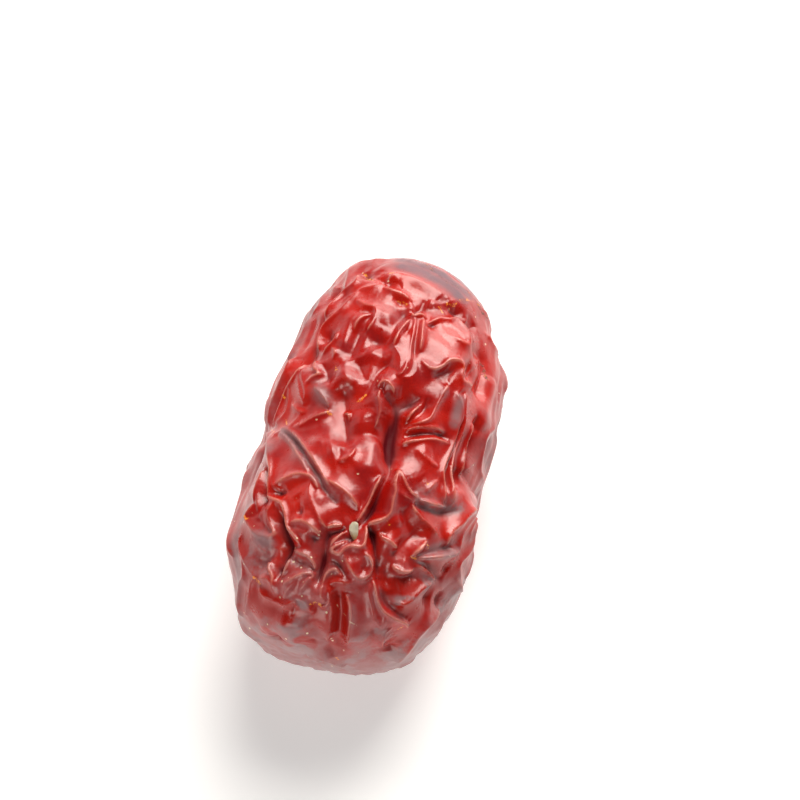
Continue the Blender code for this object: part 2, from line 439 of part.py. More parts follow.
def drawn_folds(axes, taken):
    """The drawn folds as seen from one side, where they stay clear of the points taken so far."""
    lines = []
    for fold in FOLDS:
        line = rounded(dropped(fold[1:], axes))
        gap = np.linalg.norm(taken[:, None] - line[None], axis=2).min() if len(taken) else 99
        if gap < FLANK_CLEARANCE:
            continue
        seen = min(1, 2 * max(0, facing(line.mean(axis=0), axes)))
        strength = EDGE_OF_SIGHT_STRENGTH + (1 - EDGE_OF_SIGHT_STRENGTH) * seen
        lines.append((fold[0], line, strength))
    return lines


def softened(kind, line):
    """How strong a fold away from the upper side is."""
    strength = RAISED_STRENGTH if KINDS[kind][0] > 0 else SUNKEN_STRENGTH
    if line[:, 1].mean() < -TIP_DOME_START * LENGTH:
        strength *= TIP_DOME_STRENGTH
    return strength


def stalk_folds(rng):
    """Folds that run outwards from the stalk cavity like gathers, with bends of their own."""
    folds = []
    for index in range(STALK_FOLDS):
        angle = 2 * math.pi * (index + rng.uniform(-0.25, 0.25)) / STALK_FOLDS
        reach = rng.uniform(*STALK_FOLD_REACH)
        path = []
        for step in range(5):
            angle += rng.gauss(0, 0.07)
            off_axis = STALK_FOLD_START + (reach - STALK_FOLD_START) * step / 4
            path.append((off_axis * math.cos(angle), LENGTH * 0.42, off_axis * math.sin(angle)))
        line = rounded(onto_body(np.array(path)))
        kind = "crease" if index % 2 else "ridge"
        folds.append((kind, line, softened(kind, line)))
    return folds


def underside_folds(lines, front):
    """The drawn folds again on both sides of the underside, where there is room for them."""
    folds = list(lines)
    for turn in FLANK_TURNS:
        taken = np.vstack([line for _, line, _ in folds])
        for kind, line, _ in drawn_folds(turned(front, turn), taken):
            if facing(line, front).max() < -RIM_WIDTH:
                folds.append((kind, line, softened(kind, line)))
    return folds


def grown_fold(start, taken, front, on_rim, rng):
    """One line that wanders on from a point until it comes near another line."""
    wander = RIM_WANDER if on_rim else GROWN_WANDER
    heading = np.array([0, rng.choice((-1, 1)), 0])
    point = start
    path = [start]
    for _ in range(rng.randint(8, 20) if on_rim else rng.randint(5, 14)):
        heading = heading + np.array([rng.gauss(0, wander) for _ in range(3)])
        outward = point / np.linalg.norm(point)
        heading = heading - outward * (heading @ outward)
        heading = heading / np.linalg.norm(heading)
        point = onto_body((point + heading * GROWN_STEP)[None])[0]
        if np.linalg.norm(taken - point, axis=1).min() < GROWN_CLEARANCE * 0.7:
            break
        path.append(point)
    return path


def grown_folds(lines, front, on_rim, rng):
    """The folds so far and new ones, on the rim or beyond it, where the body is still bare."""
    folds = list(lines)
    taken = np.vstack([line for _, line, _ in folds])
    for _ in range(GROWN_TRIES):
        start = np.array([[rng.gauss(0, 1), rng.gauss(0, 1.4), rng.gauss(0, 1)]])
        start = onto_body(start * (WIDTH / 4))[0]
        if facing(start, front) > RIM_WIDTH or (abs(facing(start, front)) < RIM_WIDTH) != on_rim:
            continue
        if np.linalg.norm(taken - start, axis=1).min() < GROWN_CLEARANCE:
            continue
        path = grown_fold(start, taken, front, on_rim, rng)
        if len(path) < 3:
            continue
        kind = rng.choice(("crest", "ridge", "ridge", "crease", "crease", "gully"))
        line = rounded(np.array(path))
        folds.append((kind, line, softened(kind, line)))
        taken = np.vstack([taken, line])
    return folds


def all_folds():
    """Every fold as its kind, a line on the plain body and a strength."""
    front = sight_axes(EYE_AZIMUTH, EYE_ELEVATION)
    rng = random.Random(SEED)
    lines = drawn_folds(front, np.empty((0, 3))) + stalk_folds(rng)
    lines = grown_folds(lines, front, True, rng)
    lines = underside_folds(lines, front)
    return grown_folds(lines, front, False, rng)


def distance_along(points, line):
    """Distance of each point to a line, and how far along the line that is, from 0 to 1."""
    start = line[:-1]
    run = line[1:] - start
    length = np.linalg.norm(run, axis=1)
    before = np.concatenate([[0], np.cumsum(length)])
    best = np.full(len(points), np.inf)
    place = np.zeros(len(points))
    for a, ab, size, gone in zip(start, run, length, before):
        t = np.clip((points - a) @ ab / (size * size), 0, 1)
        away = np.linalg.norm(points - a - t[:, None] * ab, axis=1)
        nearer = away < best
        best[nearer] = away[nearer]
        place[nearer] = gone + t[nearer] * size
    return best, place / before[-1], before[-1]


def fold_relief(points, lines):
    """Height of the folds. Each pulls the skin to its own height, the nearer the more strongly."""
    pull = np.ones(len(points))
    height = np.full(len(points), SAG_BETWEEN_FOLDS)
    for kind, line, strength in lines:
        rise, reach, roundness = KINDS[kind]
        margin = reach * 5 + 0.5
        near = ((points > line.min(axis=0) - margin) & (points < line.max(axis=0) + margin))
        near = np.flatnonzero(near.all(axis=1))
        away, place, length = distance_along(points[near], line)
        fade = np.clip(np.minimum(place, 1 - place) * length / 0.8 + 0.12, 0, 1)
        weight = fade / np.expm1(np.hypot(away, roundness) / reach)
        pull[near] += weight
        height[near] += weight * rise * strength
    return height / pull


def waves(points, size, rng):
    """Gentle seeded unevenness with bumps about this size, from -1 to 1."""
    total = np.zeros(len(points))
    for _ in range(14):
        direction = np.array([rng.gauss(0, 1) for _ in range(3)])
        direction = direction / np.linalg.norm(direction)
        wavelength = size * rng.uniform(1.4, 3.0)
        total += np.sin(points @ direction * 2 * math.pi / wavelength + rng.uniform(0, 6.3))
    return total / 5


def skin_height(points, lines, axes):
    """How far the wrinkled skin stands over the plain body."""
    rng = random.Random(SEED + 1)
    height = fold_relief(points, lines)
    height += 0.28 * waves(points, 4.5, rng) + 0.07 * waves(points, 1.6, rng)
    off_axis = np.hypot(points[:, 0], points[:, 2])
    stalk_end = points[:, 1] > 0
    cavity = STALK_CAVITY_DEPTH * np.exp(-(off_axis / STALK_CAVITY_RADIUS) ** 2)
    scar = 0.6 / (1 + np.exp((off_axis - STALK_SCAR_RADIUS) / 0.12))
    tip = TIP_DIMPLE_DEPTH * np.exp(-(off_axis / TIP_DIMPLE_RADIUS) ** 2)
    tip = tip - 0.5 * np.exp(-(off_axis / 0.5) ** 2)
    height -= np.where(stalk_end, cavity - scar, tip)
    for place, rise, spread in DENTS:
        centre = dropped([place], axes)[0]
        height += rise * np.exp(-(np.linalg.norm(points - centre, axis=1) / spread) ** 2)
    under = np.linalg.norm(points - np.array([0, 0, -THICKNESS / 2]), axis=1)
    return height * (1 - 0.75 * np.exp(-(under / FLAT_SPOT_CALM_RADIUS) ** 4))


def coordinates(mesh):
    """The mesh's vertex positions as an array."""
    values = np.empty(len(mesh.vertices) * 3, np.float32)
    mesh.vertices.foreach_get("co", values)
    return values.reshape(-1, 3).astype(float)


def set_coordinates(mesh, points):
    """Moves the mesh's vertices to these positions."""
    mesh.vertices.foreach_set("co", points.astype(np.float32).ravel())
    mesh.update()


def wrinkled_fruit(collection):
    """A fine sphere drawn out to the plain body, raised by the folds, then thinned out."""
    bpy.ops.mesh.primitive_ico_sphere_add(subdivisions=SPHERE_SUBDIVISIONS, radius=1)
    fruit = bpy.context.object
    fruit.name = "fruit"
    mesh = fruit.data
    mesh.name = "fruit"
    body = onto_body(coordinates(mesh) * np.array([WIDTH, LENGTH, THICKNESS]) / 2)
    set_coordinates(mesh, body)
    outward = np.array([normal.vector for normal in mesh.vertex_normals])
    axes = sight_axes(EYE_AZIMUTH, EYE_ELEVATION)
    height = skin_height(body, all_folds(), axes)
    set_coordinates(mesh, (body + outward * height[:, None]) * MM)
    thin = fruit.modifiers.new("fewer faces", "DECIMATE")
    thin.ratio = TRIANGLES / len(mesh.polygons)
    bpy.ops.object.modifier_apply(modifier=thin.name)
    for other in list(fruit.users_collection):
        other.objects.unlink(fruit)
    collection.objects.link(fruit)
    return fruit


def cut_flat_spots(fruit):
    """Slices the lowest part off level and closes it, then centres the fruit on z = 0."""
    mesh = fruit.data
    points = coordinates(mesh)
    level = points[:, 2].min() + FLAT_SPOT_CUT * MM
    bpy.context.view_layer.objects.active = fruit
    bpy.ops.object.mode_set(mode="EDIT")
    bpy.ops.mesh.select_all(action="SELECT")
    bpy.ops.mesh.bisect(
        plane_co=(0, 0, level),
        plane_no=(0, 0, 1),
        use_fill=True,
        clear_inner=True,
        threshold=0.000001,
    )
    bpy.ops.object.mode_set(mode="OBJECT")
    points = coordinates(mesh)
    low = points.min(axis=0)
    high = points.max(axis=0)
    middle = (low + high) / 2
    set_coordinates(mesh, points - np.array([middle[0], middle[1], level]))


def skin_material():
    """Glossy dark red skin."""
    material = bpy.data.materials.new("skin")
    material.use_nodes = True
    shader = material.node_tree.nodes["Principled BSDF"]
    shader.inputs["Base Color"].default_value = SKIN_COLOR
    shader.inputs["Roughness"].default_value = SKIN_ROUGHNESS
    shader.inputs["Metallic"].default_value = 0.0
    return material


def main():
    for thing in list(bpy.data.objects):
        bpy.data.objects.remove(thing)
    collection = bpy.data.collections.new("jujube")
    bpy.context.scene.collection.children.link(collection)
    fruit = wrinkled_fruit(collection)
    cut_flat_spots(fruit)
    fruit.data.materials.clear()
    fruit.data.materials.append(skin_material())
    fruit.data.shade_smooth()


main()
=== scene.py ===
"""A dried jujube, the long wrinkled red date, lying on its side on a white table.

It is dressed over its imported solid, in the same frame: metres, +Z up, stalk end at +Y, tip at -Y.
The body and its folds are worked out in millimetres, with the body's middle at the origin, and
what is drawn on the skin in tenths of a millimetre, as seen from the camera's side.
"""

import math
import random

import bpy
import numpy as np
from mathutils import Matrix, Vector


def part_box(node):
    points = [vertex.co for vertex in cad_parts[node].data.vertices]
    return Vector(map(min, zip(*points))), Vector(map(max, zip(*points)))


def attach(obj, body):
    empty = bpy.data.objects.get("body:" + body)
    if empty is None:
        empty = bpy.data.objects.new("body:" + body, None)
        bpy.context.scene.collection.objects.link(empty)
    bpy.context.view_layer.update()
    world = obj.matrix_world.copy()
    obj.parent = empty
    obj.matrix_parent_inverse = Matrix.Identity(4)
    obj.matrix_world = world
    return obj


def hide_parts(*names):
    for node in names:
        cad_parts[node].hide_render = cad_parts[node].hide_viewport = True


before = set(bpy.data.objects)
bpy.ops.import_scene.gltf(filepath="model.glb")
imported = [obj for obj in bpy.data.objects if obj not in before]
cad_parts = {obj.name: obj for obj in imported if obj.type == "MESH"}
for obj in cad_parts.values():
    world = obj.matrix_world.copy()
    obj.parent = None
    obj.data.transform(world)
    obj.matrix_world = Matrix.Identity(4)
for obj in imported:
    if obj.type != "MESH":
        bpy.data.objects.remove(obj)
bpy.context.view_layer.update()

# The plump body
# Under its wrinkles the fruit is a blunt oval, a little waisted where the flesh has sunk most.
# Every fold is laid on this form, so it comes first.
MM = 0.001
LENGTH = 47.6
WIDTH = 26.8
THICKNESS = 25.0
BLUNTNESS_TIP_END = 2.95
BLUNTNESS_STALK_END = 2.3
TIP_LEAN = -0.6
STALK_LEAN = -0.2
# Shares of the width, and places and spreads along the body, which runs from -1 to 1
WAIST_NARROWING = 0.065
WAIST_PLACE = -0.02
WAIST_SPREAD = 0.16
STALK_HALF_NARROWING = 0.04
STALK_HALF_START = 0.1
STALK_HALF_SPREAD = 0.12
# How often a point is moved until it lies on the body, and the step its slope is measured over
ONTO_BODY_ROUNDS = 4
SLOPE_STEP = 0.01


def sideways(along):
    """How far the body's middle line bends to the side at a place between -1 and 1 along it."""
    return TIP_LEAN * np.clip(-along, 0, 1) ** 2 + STALK_LEAN * np.clip(along, 0, 1) ** 3


def fullness(points):
    """Below 1 inside the plain body and above 1 outside it."""
    along = 2 * points[:, 1] / LENGTH
    middle = WAIST_NARROWING * np.exp(-((along - WAIST_PLACE) / WAIST_SPREAD) ** 2)
    stalk_half = 1 + np.exp(-(along - STALK_HALF_START) / STALK_HALF_SPREAD)
    stalk_half = STALK_HALF_NARROWING / stalk_half
    beside = points[:, 0] - sideways(along)
    across = np.hypot(beside * 2 / WIDTH, points[:, 2] * 2 / THICKNESS)
    across = across / (1 - middle - stalk_half)
    blunt = np.where(along < 0, BLUNTNESS_TIP_END, BLUNTNESS_STALK_END)
    return (across ** blunt + np.abs(along) ** blunt) ** (1 / blunt)


def onto_body(points):
    """Moves points along lines through the middle until they lie on the plain body."""
    for _ in range(ONTO_BODY_ROUNDS):
        points = points / fullness(points)[:, None]
    return points


def outward_of(points):
    """The directions square to the plain body, outwards."""
    steps = SLOPE_STEP * np.eye(3)
    slope = [fullness(points + step) - fullness(points - step) for step in steps]
    slope = np.stack(slope, axis=1)
    return slope / np.linalg.norm(slope, axis=1)[:, None]


# The folds of the upper side
# Dried skin buckles into sharp crests, rounded swells and narrow creases. Each is a kind and its
# line in tenths of a millimetre right and up from the middle, as seen from the camera's side.
EYE_AZIMUTH = 13.0
EYE_ELEVATION = 65.0
EYE_DISTANCE = 240.0
TENTHS_PER_MM = 10
# Where along a line of sight the skin is looked for, as shares of the way to the sight plane
SIGHT_START = 0.90
SIGHT_END = 1.06
SIGHT_STEPS = 260
LINE_STEP = 0.35


def sight_axes(azimuth, elevation):
    """Right, up and back directions of someone who looks at the fruit from this side."""
    turn = math.radians(azimuth)
    lift = math.radians(elevation)
    back = np.array([
        math.sin(turn) * math.cos(lift),
        -math.cos(turn) * math.cos(lift),
        math.sin(lift),
    ])
    right = np.array([math.cos(turn), math.sin(turn), 0.0])
    return right, np.cross(back, right), back


front = sight_axes(EYE_AZIMUTH, EYE_ELEVATION)


def dropped(line, axes):
    """A line drawn on the sight plane, thrown along the lines of sight onto the plain body."""
    right, up, back = axes
    flat = np.array(line) / TENTHS_PER_MM
    target = flat[:, :1] * right + flat[:, 1:] * up
    eye = back * EYE_DISTANCE
    steps = np.linspace(SIGHT_START, SIGHT_END, SIGHT_STEPS)
    samples = eye + steps[:, None, None] * (target - eye)
    depth = fullness(samples.reshape(-1, 3)).reshape(len(steps), -1)
    inside = depth <= 1
    first = np.where(inside.any(axis=0), inside.argmax(axis=0), depth.argmin(axis=0))
    return onto_body(samples[first, np.arange(len(flat))])


def rounded(line):
    """A smooth line through the given points, with a point about every third of a millimetre."""
    if len(line) == 2:
        line = np.array([line[0], (line[0] + line[1]) / 2, line[1]])
    padded = np.vstack([2 * line[0] - line[1], line, 2 * line[-1] - line[-2]])
    pieces = []
    for a, b, c, d in zip(padded, padded[1:], padded[2:], padded[3:]):
        count = max(2, int(np.linalg.norm(c - b) / LINE_STEP))
        t = np.linspace(0, 1, count, endpoint=False)[:, None]
        pieces.append(0.5 * (2 * b + (c - a) * t + (2 * a - 5 * b + 4 * c - d) * t * t
                             + (3 * b - a - 3 * c + d) * t ** 3))
    return np.vstack(pieces + [line[-1:]])


# Kinds of fold, in millimetres: height, how far the slope reaches, radius of the crest or floor
KINDS = {
    "crest": (0.30, 0.85, 0.04),
    "ridge": (0.58, 1.00, 0.06),
    "swell": (0.50, 1.30, 0.60),
    "bolster": (0.85, 1.00, 0.55),
    "cushion": (1.00, 1.50, 0.90),
    "pillow": (0.30, 2.40, 1.50),
    "dip": (-0.70, 1.20, 0.90),
    "crease": (-1.15, 0.75, 0.20),
    "gully": (-2.00, 0.90, 0.26),
    "hollow": (-1.55, 0.95, 0.40),
}
LONG_FOLD_LEFT = (
    ("crease", (-36, 184), (-49, 164), (-59, 148), (-64, 134), (-67, 120), (-72, 110), (-80, 99),
     (-86, 91), (-97, 77), (-103, 62), (-108, 50), (-113, 42)),
    ("crest", (-92, 110), (-83, 130), (-72, 150), (-64, 170), (-56, 184), (-50, 190)),
    ("crest", (-66, 157), (-59, 165), (-53, 176), (-49, 184), (-42, 185), (-36, 186)),
    ("ridge", (-52, 156), (-45, 165), (-38, 174), (-30, 182), (-23, 186), (-17, 190), (-14, 197)),
    ("ridge", (-87, 110), (-92, 96), (-100, 82), (-106, 70), (-111, 58), (-115, 42)),
    ("ridge", (-73, 108), (-80, 96), (-86, 87), (-91, 80), (-96, 70), (-99, 60), (-103, 50),
     (-108, 41)),
    ("crest", (-90, 79), (-90, 65), (-93, 54), (-99, 47), (-104, 42)),
    ("crest", (-80, 97), (-78, 85), (-76, 75), (-73, 64)),
    ("crest", (-75, 99), (-74, 90), (-71, 82), (-70, 73), (-73, 64)),
    ("crest", (-62, 109), (-61, 100), (-57, 96), (-63, 90), (-68, 85), (-72, 81)),
)
STALK_SHOULDER = (
    ("crest", (-61, 125), (-60, 133), (-57, 140), (-52, 146), (-44, 153), (-37, 158), (-30, 164),
     (-25, 170), (-19, 176), (-15, 182)),
    ("crest", (-30, 186), (-27, 193), (-23, 200), (-22, 206), (-29, 210)),
    ("crest", (-48, 191), (-40, 200), (-30, 209), (-22, 214), (-13, 219)),
    ("crest", (-22, 205), (-10, 208), (0, 211), (10, 214), (22, 218)),
    ("crest", (25, 220), (26, 214), (28, 208), (27, 202), (24, 199)),
    ("ridge", (14, 191), (21, 197), (28, 199), (36, 198), (45, 195), (55, 191), (65, 187),
     (72, 183), (77, 179), (81, 173)),
    ("crease", (23, 198), (19, 196), (14, 191), (6, 188)),
    ("crease", (-10, 201), (-5, 198), (-1, 195)),
    ("swell", (9, 209), (17, 206)),
    ("dip", (32, 187), (46, 184), (62, 179)),
    ("crest", (-14, 184), (0, 186), (10, 189), (15, 192)),
    ("crest", (12, 187), (20, 184), (30, 181), (40, 178)),
    ("crease", (22, 178), (30, 174), (39, 171)),
    ("crease", (40, 167), (47, 165), (53, 169), (59, 176)),
    ("swell", (62, 176), (66, 166)),
    ("cushion", (23, 169), (16, 160), (9, 150)),
    ("hollow", (39, 170), (32, 160), (26, 150), (22, 141), (14, 134), (5, 134), (-6, 139)),
    ("hollow", (2, 164), (-7, 155), (-13, 148), (-18, 138), (-22, 128), (-25, 120), (-24, 112)),
    ("crest", (-16, 172), (-8, 168), (0, 167), (4, 164), (3, 158), (0, 150), (-6, 144)),
    ("crest", (0, 161), (-10, 156), (-16, 150), (-21, 142)),
    ("bolster", (-15, 160), (-24, 148), (-28, 134), (-35, 122)),
    ("hollow", (-42, 141), (-48, 136), (-54, 129)),
    ("crest", (-37, 140), (-40, 132), (-48, 125), (-55, 120)),
    ("crest", (-44, 124), (-40, 120), (-42, 115)),
    ("crease", (83, 167), (90, 163), (98, 163)),
    ("crest", (81, 172), (92, 174), (100, 174)),
    ("crease", (99, 154), (103, 148), (113, 147)),
    ("crest", (106, 176), (114, 165), (122, 153), (130, 142)),
)
BIG_PILLOW = (
    ("ridge", (43, 163), (45, 159), (52, 160), (58, 157)),
    ("crest", (46, 156), (45, 145), (42, 130), (41, 120), (40, 110), (38, 102)),
    ("swell", (39, 149), (35, 137), (35, 124), (34, 112), (32, 102)),
    ("crease", (50, 153), (48, 145), (46.5, 135), (45, 120), (44, 110)),
    ("ridge", (55, 154), (53, 144), (52, 130), (51, 120)),
    ("ridge", (40, 155), (36, 149), (29, 140), (25, 132), (23, 126)),
    ("crease", (40, 148), (37, 142), (32, 136)),
    ("crest", (23, 127), (26, 121), (30, 116), (31, 110), (29, 102)),
    ("pillow", (66, 138), (70, 126), (79, 129)),
    ("crest", (58, 150), (66, 153), (73, 155), (82, 153), (89, 156)),
    ("crease", (59, 147), (65, 149), (72, 150)),
    ("crest", (89, 157), (93, 150), (98, 140), (100, 130), (99, 123), (92, 126), (86, 132)),
    ("crest", (123, 136), (127, 127), (131, 120), (135, 114)),
    ("crease", (129, 140), (131, 130), (133, 120), (136, 110)),
    ("crease", (103, 125), (110, 121), (117, 118), (121, 112), (122, 102), (121, 92), (119, 80),
     (117, 68)),
    ("ridge", (53, 109), (60, 101.5), (67, 100), (74, 103), (80, 108), (90, 106), (94, 99),
     (92, 92), (94, 86), (100, 84), (107, 82)),
    ("hollow", (63, 91), (70, 95), (80, 98), (87, 95)),
    ("crease", (104, 109), (102, 100), (96, 92)),
    ("ridge", (37, 110), (36, 104), (32, 97), (27, 95)),
    ("crest", (31, 92), (41, 93), (47, 99), (46, 106)),
    ("crest", (90, 74), (96, 80), (106, 81)),
)
MIDDLE = (
    ("crease", (-15, 69), (-8, 76), (-3, 84), (2, 93), (8, 102), (17, 110), (21, 116)),
    ("ridge", (6, 82), (12, 87), (17, 85), (21, 80), (23, 77)),
    ("ridge", (8.5, 77), (7, 70), (8, 60), (7, 50), (4, 41)),
    ("gully", (13, 72), (18, 69), (23, 65), (27, 59), (28, 50), (26, 40), (24, 30), (23, 15),
     (22, 0), (20, -10), (13, -21), (9, -30), (3, -45), (-3, -55), (-10, -63)),
    ("hollow", (27, 54), (25, 34), (22.5, 12)),
    ("gully", (21.5, 54), (20, 38), (19, 20), (18, 2)),
    ("hollow", (17, 71), (24, 65), (31, 61), (40, 65), (50, 69)),
    ("gully", (30, 58), (35, 62), (40, 63), (48, 67), (54, 70)),
    ("ridge", (51, 62), (45, 57), (41, 52), (38, 47)),
    ("crease", (61, 72), (59, 62), (54, 55), (48, 50)),
    ("ridge", (80, 83), (75, 75), (71, 67), (66, 58), (62, 50), (56, 45), (49, 43), (43, 43)),
    ("crest", (38, 37.5), (50, 38.5), (65, 38), (77, 34)),
    ("crease", (37, 31), (50, 32.5), (65, 32), (73, 30), (81, 26)),
    ("crest", (35, 24), (50, 25), (65, 25), (77, 22), (80, 20)),
    ("swell", (46, 15), (64, 12)),
    ("crest", (51, 13), (56, 7), (62, 1), (69, -3)),
    ("crest", (-87, 62), (-83, 59), (-78, 55), (-73, 54)),
    ("crest", (-47, 56), (-56, 52), (-63, 49), (-70, 45), (-77, 41), (-84, 40)),
    ("crest", (-60, 80), (-55, 74), (-50, 68), (-47, 62)),
    ("crest", (-31, 57), (-26, 54), (-25, 49)),
    ("hollow", (-33, 82), (-31, 65), (-30, 50), (-29, 35), (-28, 20)),
    ("dip", (-40, 80), (-39, 56), (-37, 36)),
    ("cushion", (-10, 60), (-10.5, 47), (-10, 34)),
    ("swell", (49, 52), (60, 66), (69, 80)),
    ("bolster", (-35, 108), (-29, 95), (-22, 83)),
    ("hollow", (-19, 115), (-13, 102), (-7, 89)),
    ("swell", (-8, 125), (3, 119), (10, 117)),
    ("hollow", (-56, 108), (-51, 96), (-47, 85)),
    ("swell", (-48, 12), (-36, 15)),
    ("swell", (-62, 18), (-54, 29)),
    ("swell", (-83, 49), (-80, 45)),
    ("swell", (-16, -8), (-5, -2), (-1, 8), (3, 22), (9, 30)),
    ("crest", (-35, 4), (-28, 5), (-21, 10), (-18, 16)),
    ("crest", (-100, 32), (-92, 27), (-85, 19), (-79, 10), (-74, 2), (-68, -9), (-63, -16)),
    ("crease", (-96, 32), (-89, 29), (-82, 22), (-76, 14), (-70, 5), (-64, -4), (-58, -14),
     (-53, -23), (-48, -30), (-42, -36), (-35, -41)),
    ("crest", (-98, 37), (-90, 35), (-82, 29), (-74, 20), (-67, 11), (-61, 3), (-54, -8),
     (-49, -17), (-43, -26)),
)
LEFT_FLANK = (
    ("ridge", (-115, 32), (-111, 18), (-109, 0), (-108, -12), (-109, -26), (-110, -36)),
    ("crease", (-113, -3), (-112, -10), (-113, -22), (-114, -34), (-114, -46)),
    ("ridge", (-117, -9), (-119, -18), (-122, -28), (-125, -41)),
    ("crest", (-121, -30), (-121, -40), (-121, -50)),
    ("crest", (-112, 30), (-108, 26), (-104, 30), (-100, 33)),
    ("ridge", (-102, -23), (-93, -18), (-83, -13), (-75, -11.5), (-65, -13.5), (-60, -19),
     (-57, -26)),
    ("crest", (-108, -12), (-106, -22), (-102, -26), (-97, -28)),
    ("crease", (-106, -28), (-100, -30), (-92, -30)),
    ("ridge", (-111, -35), (-104, -39), (-97, -42), (-94, -47), (-92, -54), (-91, -62), (-89, -69),
     (-85, -74), (-80, -80), (-76, -87)),
    ("gully", (-99, -49), (-97, -58), (-96, -68), (-93, -78), (-90, -87), (-92, -95), (-97, -105),
     (-101, -116), (-102, -126)),
    ("ridge", (-104, -43), (-109, -50), (-110, -58), (-108, -65), (-105, -72), (-106, -76),
     (-111, -79), (-119, -77), (-125, -73), (-130, -65), (-132, -59), (-129, -53), (-125, -46)),
    ("swell", (-121, -54), (-121, -62)),
    ("crest", (-129, -80), (-123, -86), (-118, -92), (-114, -96)),
    ("hollow", (-122, -113), (-116, -106), (-109, -98), (-104, -89)),
    ("crest", (-141, -80), (-141, -90), (-138, -100), (-135, -108), (-130, -115), (-125, -122),
     (-129, -128), (-131, -138), (-133, -150), (-136, -164)),
    ("crest", (-139, -105), (-138, -115), (-139, -124), (-143, -130), (-145, -150), (-142, -165)),
    ("crest", (-111, -105), (-109, -115), (-106, -121), (-105, -130), (-104, -141)),
)
LEFT_OF_THE_DEEP_FOLD = (
    ("ridge", (-49, -16), (-40, -21), (-30, -28), (-22, -35), (-14, -46)),
    ("swell", (-60, -28), (-52, -44)),
    ("swell", (-80, -26), (-76, -35)),
    ("crest", (-66, -20), (-66, -32), (-63, -41), (-59, -50), (-54, -60), (-50, -66)),
    ("hollow", (-81, -52), (-72, -50)),
    ("ridge", (-89, -65), (-82, -62), (-74, -62), (-66, -65), (-60, -70), (-56, -74)),
    ("crest", (-83, -69.5), (-77, -72), (-72, -75), (-66, -73), (-61, -72), (-57, -75)),
    ("crease", (-69, -77), (-62, -77.5), (-54, -79)),
    ("crest", (-32, -65), (-41, -65), (-48, -67)),
    ("gully", (-28, -69), (-36, -70), (-44, -72), (-49, -79), (-50, -88), (-52, -98), (-54, -108),
     (-57, -120), (-58, -130)),
    ("crest", (-45, -87), (-39, -80), (-33, -74), (-29, -72)),
    ("crease", (-16, -74), (-24, -79), (-32, -82), (-39, -87)),
    ("ridge", (-26, -81), (-33, -85), (-43, -91), (-39, -95), (-34, -96), (-30, -91), (-25, -88),
     (-19, -88), (-13, -89), (-9, -86), (-7, -80), (-5, -70), (-6, -66)),
    ("ridge", (-30, -95), (-28, -100), (-24, -110), (-18, -119), (-13, -122.5), (-7, -121),
     (-2, -116), (0, -108), (-3, -100), (-8, -95)),
    ("bolster", (-24, -99), (-18, -107), (-12, -114)),
    ("gully", (-42, -100), (-37, -107), (-31, -114), (-26, -120)),
    ("crest", (-53, -130), (-50, -120), (-45, -114), (-39, -112), (-34, -116), (-30, -122)),
    ("crest", (-44, -127), (-35, -126), (-25, -127), (-19, -123)),
    ("hollow", (-84, -99), (-77, -105), (-69, -111)),
    ("crest", (-89, -102), (-91, -110), (-96, -120)),
    ("ridge", (-93, -130), (-85, -124), (-77, -119), (-68, -117), (-62, -118)),
    ("ridge", (-76, -136), (-71, -129), (-66, -123), (-62, -120)),
    ("crest", (-83, -92), (-76, -95), (-69, -98), (-63, -106), (-61, -114)),
)
RIGHT_OF_THE_DEEP_FOLD = (
    ("ridge", (28, -6), (26, -13), (24, -22), (24, -30), (22, -37), (21, -44), (19, -52),
     (15, -57), (8, -60), (2, -62), (-3, -63)),
    ("crest", (10, -13), (3, -26), (-3, -40), (-9, -50), (-15, -60)),
    ("crest", (24, -31), (30, -32), (35, -35), (40, -37), (46, -39)),
    ("crease", (32, -4), (36, -10), (40, -18), (42, -25), (46, -29), (50, -33)),
    ("ridge", (29, -7), (32, -15), (35, -22), (40, -29), (45, -33), (50, -36)),
    ("crease", (46, -41), (52, -44.5), (62, -48), (72, -51), (84, -52.5), (92, -51)),
    ("crest", (52, -39), (62, -42.5), (72, -45), (81, -47)),
    ("crest", (43, -44), (47, -52), (52, -59), (58, -64), (64, -71), (69, -76)),
    ("crest", (59, -29), (66, -22), (71, -18)),
    ("swell", (24, -53), (28, -68)),
    ("hollow", (33, -46), (37, -56), (41, -65), (44, -73)),
    ("crest", (9, -72), (13, -79), (20, -83), (24, -87), (28, -90)),
    ("hollow", (53, -68), (48, -75), (40, -82), (33, -88), (28, -94), (26, -102)),
    ("ridge", (57, -83), (53, -88), (48, -93), (43, -98)),
    ("ridge", (24, -110), (30, -115), (37, -116), (43, -114)),
    ("crease", (24, -120), (33, -121), (43, -121), (50, -124)),
    ("ridge", (108, -50), (102, -53), (97, -59), (93, -65), (88, -69), (82, -74), (80, -80),
     (80, -87)),
    ("crest", (108, -56), (103, -63), (98, -70), (95, -78), (94, -86), (93, -95)),
    ("crest", (110, -60), (106, -68), (104, -76), (105, -82)),
    ("crest", (113, -65), (110, -75), (109, -85), (106, -93), (102, -99), (97, -105), (93, -111),
     (93, -120), (94, -130)),
    ("crease", (48, -99), (60, -96.5), (73, -93.5), (86, -90)),
    ("ridge", (47, -101), (60, -101), (75, -99.5), (88, -97), (93, -93)),
    ("crease", (48, -105), (56, -108), (62, -112), (69, -119), (74, -124), (80, -125)),
    ("crest", (47, -108), (55, -113), (62, -118), (69, -125)),
    ("hollow", (79, -110), (84, -117)),
    ("gully", (-4, -66), (2, -73), (5, -83), (6, -95), (8, -110), (9, -122)),
    ("hollow", (8, -114), (9, -128), (12, -142), (16, -152), (23, -158), (30, -162), (39, -169)),
    ("hollow", (17, -104), (18, -120), (21, -136)),
)
